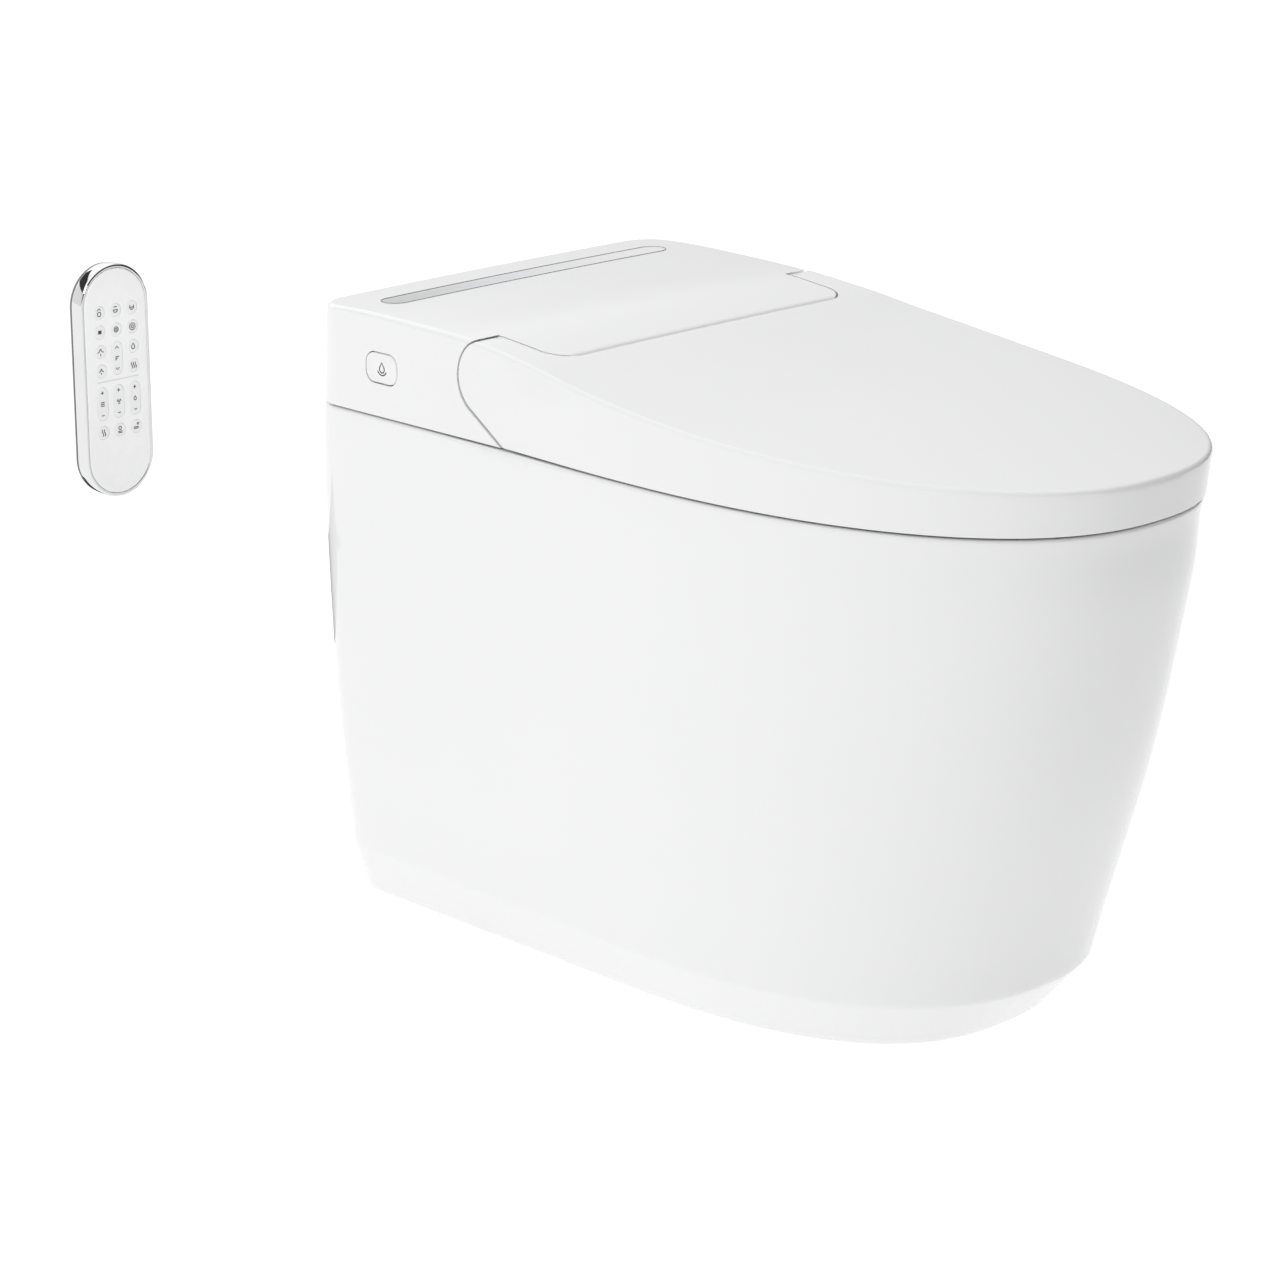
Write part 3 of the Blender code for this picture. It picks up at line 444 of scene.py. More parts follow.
def carve(piece, cuts=(), keeps=(), joins=()):
    # joins tools to the piece, keeps what lies inside others, and cuts the rest away
    used = []
    for operation, tools in (("UNION", joins), ("INTERSECT", keeps), ("DIFFERENCE", cuts)):
        for tool in tools:
            step = piece.modifiers.new("carve", "BOOLEAN")
            step.operation, step.solver, step.object = operation, "MANIFOLD", tool
            used.append(tool)
    bpy.context.view_layer.update()
    mesh = bpy.data.meshes.new_from_object(piece.evaluated_get(bpy.context.evaluated_depsgraph_get()))
    piece.modifiers.clear()
    piece.data = mesh
    mesh.name = piece.name
    for tool in used:
        bpy.data.objects.remove(tool, do_unlink=True)
    return piece


def dress(piece, finish, body, replaced=(), crease=34):
    piece.data.materials.clear()
    piece.data.materials.append(material[finish])
    piece.data.polygons.foreach_set("material_index", np.zeros(len(piece.data.polygons), np.int32))
    piece.data.shade_smooth()
    piece.data.set_sharp_from_angle(angle=math.radians(crease))
    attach(piece, body)
    if replaced:
        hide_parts(*replaced)
    return piece


def softTable(table, value):
    # a smooth curve through a table of places and amounts: cubic pieces with matching slopes
    places, amounts = np.array(table, float).T
    slopes = np.gradient(amounts, places)
    value = np.clip(np.asarray(value, float), places[0], places[-1])
    i = np.clip(np.searchsorted(places, value) - 1, 0, len(places) - 2)
    gap = places[i + 1] - places[i]
    t = (value - places[i]) / gap
    return ((1 + 2 * t) * (1 - t) ** 2 * amounts[i] + t * (1 - t) ** 2 * gap * slopes[i]
            + t * t * (3 - 2 * t) * amounts[i + 1] + t * t * (t - 1) * gap * slopes[i + 1])


def planOutline(rear, belly, bellyY, nose, power, back=0.0, corner=28.0, inset=0.0, steps=(5, 10, 14, 44)):
    # plan of the body: a straight back, round rear corners, sides that widen softly to the belly,
    # and a superellipse nose; the sizes may be one per height, and the outline is moved in by inset
    sizes = np.broadcast_arrays(*[np.asarray(v, float) for v in (rear, belly, bellyY, nose, power)])
    rear, belly, bellyY, nose, power = (v.reshape(-1, 1) for v in sizes)
    inset = np.asarray(inset, float).reshape(-1, 1)
    rear, belly, nose, back = rear - inset, belly - inset, nose - inset, back - inset
    corner = np.maximum(corner - inset, 3)
    t = [np.linspace(0, 1, n, endpoint=False)[None, :] for n in steps]
    turn = t[1] * math.pi / 2
    ease = t[2] ** 2 * (3 - 2 * t[2])
    swing = (t[3] ** 1.15) * math.pi / 2
    x = np.concatenate([t[0] * (rear - corner), rear - corner + corner * np.sin(turn),
                        rear + (belly - rear) * ease, belly * np.cos(swing) ** (2 / power),
                        0 * rear], 1)
    y = np.concatenate([back + 0 * (t[0] + rear), back - corner + corner * np.cos(turn),
                        back - corner + (-bellyY - back + corner) * t[2],
                        -bellyY - (nose - bellyY) * np.sin(swing) ** (2 / power), -nose], 1)
    half = np.stack([x, y], -1)
    other = half[:, -2:0:-1] * (-1, 1)
    return np.concatenate([half, other], 1)[:, ::-1]


topLine = {"curve": [(-690, 443), (-600, 447), (-500, 453), (-400, 461), (-350, 466.6), (-300, 473), (-255, 480),
                     (-225, 483.6), (-190, 487), (-120, 489.5), (-60, 490.2), (0, 488)],
           "crown": 1.2, "half": 184.0}


def topAt(flat):
    # height of the lid and the cover: the top line from the wall to the nose, lower at the sides
    fall = topLine["crown"] * np.minimum(np.abs(flat[..., 0]) / topLine["half"], 1) ** 2
    return softTable(topLine["curve"], flat[..., 1]) - fall


# ceramic pan

pan = {"side": [(0, 149.5), (41, 163.9), (75, 167.5), (128, 173.8), (179, 178.0), (280, 183.2), (360, 185.2),
                (395, 185.0), (409.2, 183.8)],
       "nose": [(0, 563), (41, 601), (65, 607), (117, 622), (210, 649), (318, 671.5), (358, 679), (402, 683.5),
                (409.2, 685.5)],
       "belly": [(0, 0.0), (41, 4.3), (409.2, 6.6)], "bellyY": [(0, 307), (41, 348), (409.2, 351)],
       "power": [(0, 2.55), (41, 2.30), (409.2, 2.32)], "crease": 41, "soften": 2.5, "rim": 409.2, "lip": 3.0,
       "wall": 16, "hollowTop": 284, "bowlWall": 12, "bowlLip": 7.0,
       "bowl": [(160, 34, 42, -378), (180, 52, 66, -388), (230, 82, 108, -420), (300, 114, 156, -443),
                (401.2, 131, 184, -447), (413.2, 133, 186, -447)],
       "trap": [(-372, 190), (-330, 178), (-285, 205), (-240, 240), (-200, 236), (-172, 200), (-160, 150),
                (-155, 90), (-155, -30)], "bore": 32, "trapWall": 9,
       "bay": ((0, -126), (158, 110), 16, 300), "apron": (-54, 104, -330, -214, 377)}


def creased(table, z, crease, soften):
    # a smooth curve above the crease and a straight chamfer below it, rounded a little where they meet
    z = np.asarray(z, float)
    upper = [row for row in table if row[0] >= crease]
    low, high = table[0], upper[0]

    def at(height):
        chamfer = low[1] + (high[1] - low[1]) * np.clip(height, 0, crease) / crease
        return np.where(height < crease, chamfer, softTable(upper, height))
    return (at(z - soften) + 2 * at(z) + at(z + soften)) / 4


def panRings(z, inset=0.0):
    # the body's outline at each height, moved in by the inset
    z = np.asarray(z, float)
    value = {key: creased(pan[key], z, pan["crease"], pan["soften"])
             for key in ("side", "nose", "belly", "bellyY", "power")}
    outline = planOutline(value["side"], value["side"] + value["belly"], value["bellyY"], value["nose"],
                          value["power"], inset=np.broadcast_to(inset, z.shape))
    return placed(outline, "Z", z[:, None] + np.zeros(outline.shape[1]))


def bowlRings(outline, z, extra=0.0, drop=0.0):
    # ellipses through the bowl's heights, each point looking the same way as the body's outline does
    halfX, halfY, centre = (softTable([(row[0], row[k]) for row in pan["bowl"]], z)[:, None] for k in (1, 2, 3))
    extra = np.asarray(extra).reshape(-1, 1)
    halfX, halfY = halfX + extra, halfY + extra
    wide, long, middle = pan["bowl"][-1][1:]
    angle = np.arctan2((outline[:, 1] - middle) / long, outline[:, 0] / wide)[None, :]
    flat = np.stack([halfX * np.cos(angle), centre + halfY * np.sin(angle)], -1)
    return placed(flat, "Z", (np.asarray(z) - drop)[:, None] + np.zeros(flat.shape[1]))


def sweep(path, radius, sides=28, stations=60):
    # a round tube along a line of points in the middle plane, sides first, its ends closed
    path = np.array(path, float)
    way = np.concatenate([[0], np.cumsum(np.hypot(*np.diff(path, axis=0).T))])
    at = np.linspace(0, way[-1], stations)
    y, z = (softTable(np.stack([way, path[:, k]], 1), at) for k in (0, 1))
    alongY, alongZ = np.gradient(y), np.gradient(z)
    length = np.hypot(alongY, alongZ)
    angle = np.linspace(0, 2 * math.pi, sides, endpoint=False)
    x = radius * np.cos(angle) + 0 * y[:, None]
    up = radius * np.sin(angle)[None, :]
    rows = np.stack([x, y[:, None] - up * (alongZ / length)[:, None],
                     z[:, None] + up * (alongY / length)[:, None]], -1)
    return ringSolid("tool", rows[:, ::-1], (True, True))


def makePan():
    # one skin goes up the skirt, over the rim, across the deck and down the bowl; then the hollow
    # under it, the trap, the machine bay, the apron, the back's opening and two round passages
    # are cut out
    lip, rim = pan["lip"], pan["rim"]
    heights = np.concatenate([[0, 1.2, 6, 16, 28], np.arange(35, 48, 1.5), np.linspace(52, 392, 26),
                              [397, 402, rim - lip]])
    turn = np.radians(np.linspace(0, 90, 6)[1:])
    skirt = panRings(heights, np.concatenate([[1.2], np.zeros(len(heights) - 1)]))
    edge = panRings(rim - lip * (1 - np.sin(turn)), lip * (1 - np.cos(turn)))
    deckOut = edge[-1]
    bowlLip = pan["bowlLip"]
    fall = np.radians(np.linspace(90, 0, 9))
    lipRows = bowlRings(deckOut, rim - bowlLip * (1 - np.sin(fall)), bowlLip * (1 - np.cos(fall)))
    deck = [deckOut + (lipRows[0] - deckOut) * share for share in (0.25, 0.5, 0.75)]
    bowl = bowlRings(deckOut, np.concatenate([np.linspace(396, 196, 22), [188, 180, 172, 166, 162, 160.4]]))
    sump = [bowl[-1] + (bowl[-1].mean(0) - bowl[-1]) * share for share in (0.3, 0.65)]
    rows = np.concatenate([skirt, edge, deck, lipRows, bowl, sump])
    rows[rows[:, :, 2] > rim, 2] = rim
    body = ringSolid("panShell", rows, (False, True))

    hollow = ringSolid("tool", panRings(np.array([0, 41, 110, 180, pan["hollowTop"]]), pan["wall"])
                       - np.array([0, 0, 1]) * np.array([12, 0, 0, 0, 0])[:, None, None])
    bowlHeights = np.linspace(160, 330, 12)
    bowlOuter = ringSolid("tool", bowlRings(deckOut, bowlHeights, pan["bowlWall"], pan["bowlWall"]), (True, False))
    carve(hollow, [bowlOuter, sweep(pan["trap"], pan["bore"] + pan["trapWall"])])
    centre, half, corner, floor = pan["bay"]
    left, right, front, rear, apronFloor = pan["apron"]
    tools = [hollow, sweep(pan["trap"], pan["bore"]), prism(roundBox(centre, half, corner), "Z", floor, 430),
             prism(roundBox(((left + right) / 2, (front + rear) / 2 - 3),
                            ((right - left) / 2, (rear - front) / 2 + 3), (1, 1, 14, 14)), "Z", apronFloor, 430),
             prism(roundBox((0, 132.5), (95, 102.5), 12), "Y", -30, 10)]
    tools += [rod((x, -60, 250), (x, -60, 330), 13) for x in (-100, 100)]
    carve(body, tools)
    return dress(body, "glaze", "toilet", ["ceramic_pan", "ceramic_bowl"])


makePan()
print("ceramic pan made")

# lid arms, rear cover and lid

hinge = {"y": -210, "z": 473, "hole": 3.4}
arm = {"centre": (-201, 459), "radius": 29.0, "gap": 2.0, "slope": -226, "foot": 409.0, "top": -188,
       "reach": 205}
cover = {"base": 410.8, "side": 185.6, "topSide": 182.4, "back": -3, "corner": 28, "edge": 4.6, "skin": 3.0,
         "tongue": 155.7, "tongueY": -254, "tongueCorner": 22, "foot": 0.5, "centre": (0, -135), "below": 10}
lid = {"base": 411.0, "rear": 184.2, "belly": 190.8, "nose": 687, "taper": (0.75, -0.9, -2.0), "per": 32,
       "edge": 3.2, "skin": 3.0, "foot": 0.6, "centre": (0, -400), "below": 12}


def armLine(gap):
    # the line between a lid arm and the cover, seen from the side: up a slope, then round the back
    # of the arm's round end to its top; a larger gap is nearer the wall
    angle = np.radians(np.linspace(-61, 70, 48))
    radius = arm["radius"] + gap
    end = np.array(arm["centre"]) + radius * np.stack([np.cos(angle), np.sin(angle)], -1)
    slope = np.linspace((arm["slope"] + gap * 2.05, arm["foot"]), end[0], 8, endpoint=False)
    return np.concatenate([slope, end])


def frontOfArm(gap):
    # all that lies in front of the arm line
    side = armLine(gap)
    outline = np.concatenate([[(-330, 400), (side[0, 0] - 14, 400)], side, [(arm["top"] + gap, 512), (-330, 512)]])
    return prism(outline, "X", -arm["reach"], arm["reach"])


def behindArm(gap):
    # all that lies behind the arm line
    side = armLine(gap)
    outline = np.concatenate([[(side[0, 0] - 10, 390)], side, [(arm["top"] + gap, 520), (20, 520), (20, 390)]])
    return prism(outline, "X", -arm["reach"], arm["reach"])


def tonguePlan(grow, rear=30.0):
    # plan of the cover's tongue between the lid arms, with round front corners
    half, front = cover["tongue"] + grow, cover["tongueY"] - grow
    radius = cover["tongueCorner"] + grow
    return roundBox((0, (front + rear) / 2), (half, (rear - front) / 2), (0, 0, radius, radius), 14)


def crownedRings(outlineAt, base, edge, centre, drop=0.0, foot=0.0, extend=0.0):
    # a body with upright sides and a crowned top: up the side, round the edge, then rings that
    # shrink to the middle of the top; outlineAt gives the plan for a height and an inset
    outline = outlineAt(np.array([base]), np.array([0.0]))[0]
    sideTop = topAt(outline) - drop - edge
    rows = []
    if foot:
        rows.append(placed(outlineAt(np.array([base]), np.array([foot]))[0], "Z", base))
    for share in np.linspace(0, 1, 7):
        z = (base + foot - extend) + (sideTop - base - foot + extend) * share
        level = float(z.mean())
        rows.append(placed(outlineAt(np.array([level]), np.array([0.0]))[0], "Z", z))
    level = float(sideTop.mean())
    for turn in np.radians(np.linspace(0, 90, 8)[1:]):
        flat = outlineAt(np.array([level]), np.array([edge * (1 - math.cos(turn))]))[0]
        rows.append(placed(flat, "Z", topAt(flat) - drop - edge * (1 - math.sin(turn))))
    last = rows[-1][:, :2]
    for share in (0.995, 0.985, 0.96, 0.92, 0.86, 0.78, 0.68, 0.56, 0.42, 0.28, 0.14):
        flat = np.array(centre) + (last - centre) * share
        rows.append(placed(flat, "Z", topAt(flat) - drop))
    return np.array(rows).reshape(-1, len(outline), 3)


def crownedBody(name, outlineAt, made, inset=0.0):
    # the outside of a crowned piece or, moved in by an inset, the hollow that opens below it
    def plan(z, more):
        return outlineAt(z, more + inset)
    if not inset:
        rows = crownedRings(plan, made["base"], made["edge"], made["centre"], foot=made["foot"])
        return ringSolid(name, rows, (False, True))
    rows = crownedRings(plan, made["base"], made["edge"] - 2, made["centre"], drop=inset, extend=made["below"])
    return ringSolid("tool", rows, (False, True))


def coverPlan(z, inset):
    # the cover's plan: sides that lean in a little, round rear corners, a straight front; every
    # height and inset has the same points, so straight parts stretch and corners keep round
    lean = float(np.clip((z[0] - cover["base"]) / 70, 0, 1.05)) * (cover["topSide"] - cover["side"])
    low = np.array([-cover["side"], cover["tongueY"]])
    high = np.array([cover["side"], cover["back"]])
    plan = roundBox((low + high) / 2, (high - low) / 2, (cover["corner"], cover["corner"], 0.01, 0.01), 12)
    plan = pointsAt(plan, spread(plan, 9.0))
    corner = max(cover["corner"] - inset[0], 2)
    rim = cover["corner"]
    half = cover["side"] + lean - inset[0]
    x = np.interp(plan[:, 0], [low[0], low[0] + rim, high[0] - rim, high[0]],
                  [-half, corner - half, half - corner, half])
    y = np.interp(plan[:, 1], [low[1], high[1] - rim, high[1]],
                  [low[1] + inset[0], high[1] - inset[0] - corner, high[1] - inset[0]])
    return np.stack([x, y], -1)[None]


def recessTool(gap, shrink=0.0):
    # the room in front of the arm line and outside the tongue
    return carve(frontOfArm(gap), [prism(tonguePlan(-shrink), "Z", 380, 530)])


def hingeRods(near, far, radius):
    # one rod on each side, along the hinge's axis
    y, z = hinge["y"], hinge["z"]
    return [rod((side * near, y, z), (side * far, y, z), radius) for side in (-1, 1)]


# trim is how high the top of the grey band of painted shade round the strip stands above the cover's top
strip = {"half": 151, "y": -52.5, "width": 24.5, "split": 107, "gap": 0.7, "trim": 0.34}
button = {"y": -85.3, "z": 448.3, "half": (17.5, 11.5), "corner": 9, "face": -184.3, "back": -177, "gap": 0.85}


def makeCover():
    # the crowned body less its hollow, the arms' room and the openings of strip, button and hinge
    hollow = carve(crownedBody("tool", coverPlan, cover, cover["skin"]),
                   [recessTool(arm["gap"] + cover["skin"], cover["skin"])])
    slotPlan = roundBox((0, strip["y"]), (strip["half"], strip["width"] / 2), strip["width"] / 2)
    buttonPlan = roundBox((button["y"], button["z"]), np.array(button["half"]) + button["gap"],
                          button["corner"] + button["gap"])
    y, z = hinge["y"], hinge["z"]
    cuts = [recessTool(arm["gap"]), hollow, prism(slotPlan, "Z", 478, 500), prism(buttonPlan, "X", -195, -170),
            prism(roundBox((-100, 436), (21.5, 12), 1.2), "X", 170, 195),
            rod((-170, y, z), (170, y, z), hinge["hole"])]
    shell = carve(crownedBody("coverShell", coverPlan, cover), cuts)
    return dress(shell, "shell", "toilet", ["rear_cover"])


def lidOutline(z, inset):
    # the lid's plan: each size falls by its taper for every step of height, or grows if that is negative
    step = (float(z[0]) - lid["base"]) / lid["per"]
    rear, belly, nose = (lid[key] - step * taper for key, taper in zip(("rear", "belly", "nose"), lid["taper"]))
    return planOutline(rear, belly, 351, nose, 2.32, back=-150, corner=20, inset=inset, steps=(6, 8, 30, 48))


def makeLid():
    # the crowned body less the cover's room and its hollow, with a boss in each arm
    wall = lid["skin"]
    notch = prism(tonguePlan(arm["gap"]), "Z", 395, 512)
    notchWall = prism(tonguePlan(arm["gap"] + 2.4), "Z", 438, 512)
    hollow = carve(crownedBody("tool", lidOutline, lid, wall + 0.2), [behindArm(-wall), notchWall])
    bosses = hingeRods(158.4, 164.2, 9.8)
    holes = hingeRods(150, 170, hinge["hole"])
    slots = [box((low, -250, 400), (high, -150, 464)) for low, high in ((-177.6, -165), (165, 177.6))]
    shell = carve(crownedBody("lidShell", lidOutline, lid), [behindArm(0), notch, hollow])
    carve(shell, holes + slots, joins=bosses)
    return dress(shell, "shell", "lid", ["lid"])


makeCover()
print("rear cover made")
makeLid()
print("lid made")

# strip, touch panel and flush button


def makeStrip():
    # the strip's glass and the touch panel beside it follow the cover's crowned top
    gap, level = strip["gap"], strip["width"] / 2 - strip["gap"]
    ends = {"stripPanel": (-strip["half"] + gap, strip["split"] - gap / 2, (0.6, level, level, 0.6)),
            "touchPanel": (strip["split"] + gap / 2, strip["half"] - gap, (level, 0.6, 0.6, level))}
    made = {}
    for name, (low, high, corners) in ends.items():
        made[name] = padSolid(name, "Z", ((low + high) / 2, strip["y"]), ((high - low) / 2, level), corners,
                              [(0, -4.4), (0, -0.05), (0.06, 0.1), (0.2, 0.16)], 12, topAt)
    dress(made["stripPanel"], "stripGlass", "toilet", ["strip_panel"])
    dress(made["touchPanel"], "shell", "toilet", ["touch_panel"])


def makeFlushButton():
    # a rounded rim round a face that is dished by a little under a millimetre
    face, back = button["face"], button["back"]
    profile = [(0, back), (0, face + 0.9), (0.2, face + 0.4), (0.6, face + 0.1), (1.2, face), (1.9, face + 0.05),
               (2.6, face + 0.2), (3.6, face + 0.5), (4.8, face + 0.72), (6.2, face + 0.8), (8, face + 0.8)]
    made = padSolid("flushButton", "X", (button["y"], button["z"]), button["half"], button["corner"], profile, 12)
    return dress(made, "buttonSkin", "flush_button", ["flush_button"], 50)


# marks: thin raised lines of ink


def marks(name, along, centre, level, lines, width, body, finish="ink", lift=None):
    # each line of points becomes a flat strip with upright edges; a line that ends where it starts
    # closes on itself; lift adds a height by place
    points, faces = [], []
    for path in lines:
        path = np.asarray(path, float)
        closed = np.allclose(path[0], path[-1])
        path = path[:-1] if closed else path
        count = len(path)
        way = np.roll(path, -1, 0) - np.roll(path, 1, 0) if closed else np.gradient(path, axis=0)
        way = way / np.linalg.norm(way, axis=1, keepdims=True)
        side = np.stack([-way[:, 1], way[:, 0]], -1) * width / 2
        flat = np.stack([path + side, path - side, path - side, path + side], 1) + np.asarray(centre, float)
        height = np.array(level)[[0, 0, 1, 1]][None, :] + (lift(flat) if lift else np.zeros((count, 4)))
        rows = placed(flat, along, height)
        first = len(points)
        points += list(rows.reshape(-1, 3))
        band = quads(count + 1, 4) % (count * 4) if closed else quads(count, 4)
        faces += (band + first).tolist()
        if not closed:
            last = first + (count - 1) * 4
            faces += [[first + k for k in (3, 2, 1, 0)], [last + k for k in (0, 1, 2, 3)]]
    made = newPiece(name, np.array(points) * mm, faces)
    shape = bmesh.new()
    shape.from_mesh(made.data)
    bmesh.ops.recalc_face_normals(shape, faces=shape.faces)
    shape.to_mesh(made.data)
    shape.free()
    return dress(made, finish, body)


def ring(radius, x=0.0, y=0.0, start=0, finish=360, steps=22):
    # an arc about a point, from one angle in degrees to another
    angle = np.radians(np.linspace(start, finish, steps))
    return np.stack([x + radius * np.cos(angle), y + radius * np.sin(angle)], -1)


def line(*points):
    return np.array(points, float)


def wave(x, low, high, swing):
    # an upright line that swings once to each side
    t = np.linspace(0, 1, 14)
    return np.stack([x + swing * np.sin(t * 2 * math.pi), low + (high - low) * t], -1)


def moved(lines, x=0.0, y=0.0, size=1.0):
    return [np.asarray(one) * size + (x, y) for one in lines]


minus = [line((-1.1, 0), (1.1, 0))]
plus = minus + [line((0, -1.1), (0, 1.1))]
moreLess = moved(plus, 0, 7.6) + moved(minus, 0, -7.6)
drop = [np.concatenate([ring(1.1, 0, -0.5, -220, 40, 18), line((0, 1.6)), ring(1.1, 0, -0.5, -220, -220, 1)])]
swirl = [ring(1.9), ring(0.8)]
fan = [ring(1.5, 0.0, 0.0, start, start + 70, 8) for start in (0, 120, 240)] + [ring(0.45)]
spray = [ring(2.0, -2.3, 1.7, -85, 5, 10), ring(2.0, 2.3, 1.7, 175, 265, 10), line((0, -2.3), (0, -0.9))]
keySigns = {
    "key_left_1": moved([ring(1.2), line((-1.2, 2.0), (0, 3.1), (1.2, 2.0))], 0, -0.7),
    "key_left_2": [line((-1.1, y), (1.1, y)) for y in (-0.75, -0.25, 0.25, 0.75)],
    "key_left_3": spray, "key_left_4": moved(spray, size=0.75),
    "key_left_5": [wave(-0.7, -1.9, 1.9, 0.45), wave(0.7, -1.9, 1.9, 0.45)],
    "key_middle_1": [line((-1.3, 1.9), (1.3, 1.9)), ring(1.4, 0, 0.2, 180, 360, 12), line((-1.4, 0.2), (1.4, 0.2))],
    "key_middle_2": moved(swirl, size=0.75),
    "key_middle_3": [ring(0.9, 0, 1.0), line((-1.4, -0.9), (1.4, -0.9)), line((-1.4, -1.7), (1.4, -1.7))],
    "key_right_1": [ring(1.3, 0, 0, 180, 360, 12), line((-1.3, 0), (-1.3, 1.2)), line((1.3, 0), (1.3, 1.2)),
                    line((-1.3, 0), (1.3, 0))],
    "key_right_2": swirl, "key_right_3": drop, "key_right_4": [wave(x, -1.7, 1.7, 0.4) for x in (-1.3, 0, 1.3)],
    "key_right_5": [line((-1.7, -1.2), (1.7, -1.2)), line((-1.7, -0.4), (1.7, -0.4)), ring(0.5, 1.2, 1.4)],
    "rocker_left_1": moreLess + [line((-1.5, y), (1.5, y)) for y in (-1.2, 0, 1.2)],
    "rocker_middle_1": [line((-1.4, 6.4), (0, 7.9), (1.4, 6.4)), line((-1.4, -6.4), (0, -7.9), (1.4, -6.4)),
                        line((-1.5, 0.9), (1.5, 0.9)), line((-1.5, -0.1), (0.5, -0.1)),
                        line((-1.5, -1.1), (-0.5, -1.1))],
    "rocker_middle_2": moreLess + fan, "rocker_right_1": moreLess + moved(drop, size=0.9)}


def makeGapShadeBand():
    # a thin grey band round the strip, standing a little above the cover: painted shade, put in the gap where the
    # shadow between strip and cover falls
    inset = strip["gap"] / 2
    end = strip["width"] / 2 - inset
    outline = roundBox((0, strip["y"]), (strip["half"] - inset, end), end, 12)
    marks("stripGapShadeBand", "Z", (0, 0), (-1.5, strip["trim"]), [closedLine(outline, 5.0)], strip["gap"] - 0.1,
          "toilet", "gapShadeGrey", topAt)


makeStrip()
makeGapShadeBand()
marks("touchSign", "Z", (134, strip["y"]), (488.0, 488.62), [ring(2.1), line((0, -3.4), (0, -2.1))], 0.35,
      "toilet")
makeFlushButton()
marks("flushSign", "X", (button["y"], button["z"]), (button["face"] + 1.2, button["face"] + 0.7),
      moved(drop, 0, 0.6, 2.5) + [ring(5.4, 0, 0, 205, 335, 20)], 0.95, "flush_button")
print("strip and flush button made")

# seat ring

seat = {"bottom": 414.0, "top": 431.0, "half": 180.0, "belly": 184.0, "nose": 680.0, "rear": -273.0,
        "hole": (105, 148, -452), "outerRound": 8.0, "innerRound": 10.0, "wall": 4.0, "ear": (166.6, 176.0)}


def makeSeat():
    # sections from the outer edge to the hole, one for each point of the outline: a rounded top
    # that dips a little towards the hole, and a hollow underside
    outer = planOutline(seat["half"], seat["belly"], 351, seat["nose"], 2.32, back=seat["rear"], corner=18,
                        steps=(12, 8, 10, 48))[0]
    halfX, halfY, centre = seat["hole"]
    angle = np.arctan2((outer[:, 1] - centre) / (halfY + 60), outer[:, 0] / (halfX + 60))
    hole = np.stack([halfX * np.cos(angle), centre + halfY * np.sin(angle)], -1)
    width = np.hypot(*(hole - outer).T)[:, None]
    turn = np.radians(np.linspace(0, 90, 7))
    bottom, top, wall = seat["bottom"], seat["top"], seat["wall"]
    first, second = seat["outerRound"], seat["innerRound"]
    fromOuter = np.concatenate([[0], first * (1 - np.cos(turn))])
    outerZ = np.concatenate([[bottom], top - first * (1 - np.sin(turn))])
    share = np.array([0.25, 0.5, 0.75])
    fromHole = np.concatenate([second * (1 - np.sin(turn)), [0, wall, wall, wall + 5]])
    innerZ = np.concatenate([top - second * (1 - np.cos(turn)), [bottom, bottom, 420.5, 426.9]])
    ceiling = np.array([[13.0, 426.9], [wall, 420.5], [wall, bottom]])
    flatPart = first + (width - first - second) * share[None, :]
    dip = 1.2 * np.sin(share * math.pi) ** 2
    offset = np.concatenate([fromOuter + 0 * width, flatPart, width - fromHole, ceiling[:, 0] + 0 * width], 1)
    height = np.concatenate([outerZ, top - dip, innerZ, ceiling[:, 1]])[None, :] + 0 * width
    share = (offset / width)[..., None]
    flat = outer[:, None] * (1 - share) + hole[:, None] * share
    made = ribbonLoop("seatRing", np.concatenate([flat, height[..., None]], -1))
    y, z = hinge["y"], hinge["z"]
    turn = np.radians(np.linspace(-57, 123, 24))
    earLine = np.concatenate([[(-294, 428), (-294, 418.5), (-280, 418.5)],
                              np.stack([y + 7.2 * np.cos(turn), z + 7.2 * np.sin(turn)], -1)])
    near, far = seat["ear"]
    ears = [prism(earLine, "X", low, high) for low, high in ((-far, -near), (near, far))]
    carve(made, hingeRods(160, 180, hinge["hole"]), joins=ears)
    return dress(made, "seatSkin", "seat", ["seat_top"])


makeSeat()
print("seat made")

# remote and its holder

# the grey band along the back edge, 1.2 mm in from the outline, is a painted reflection
remote = {"x": -383.5, "z": 461.3, "half": (31.0, 87.5), "back": -5.5, "rim": -19.4, "face": -20.0, "recess": 2.8,
          "pitch": 14.9, "keyRadius": 5.0, "keyLength": 25.0, "gap": 0.35, "keyGap": 0.13, "darkEdgeInset": 1.2,
          "signSize": 1.35, "longSignSize": 1.12, "signLine": 0.6,
          "rounds": {-1: (53.3, 38.9, 24.2, 9.7, -36.7), 0: (53.3, 38.9, -36.7), 1: (53.3, 38.9, 24.2, 9.7, -36.7)},
          "longs": {-1: (-15.1,), 0: (17.5, -15.1), 1: (-15.1,)}}


def keyPlaces():
    # the name, the place and the half sizes of every key, column by column
    names = {-1: "left", 0: "middle", 1: "right"}
    for kind, rows, length in (("key", remote["rounds"], 0), ("rocker", remote["longs"], remote["keyLength"])):
        for column, heights in rows.items():
            for count, up in enumerate(heights, 1):
                place = (remote["x"] + column * remote["pitch"], remote["z"] + up)
                yield (f"{kind}_{names[column]}_{count}", place,
                       (remote["keyRadius"], max(remote["keyRadius"], length / 2)))


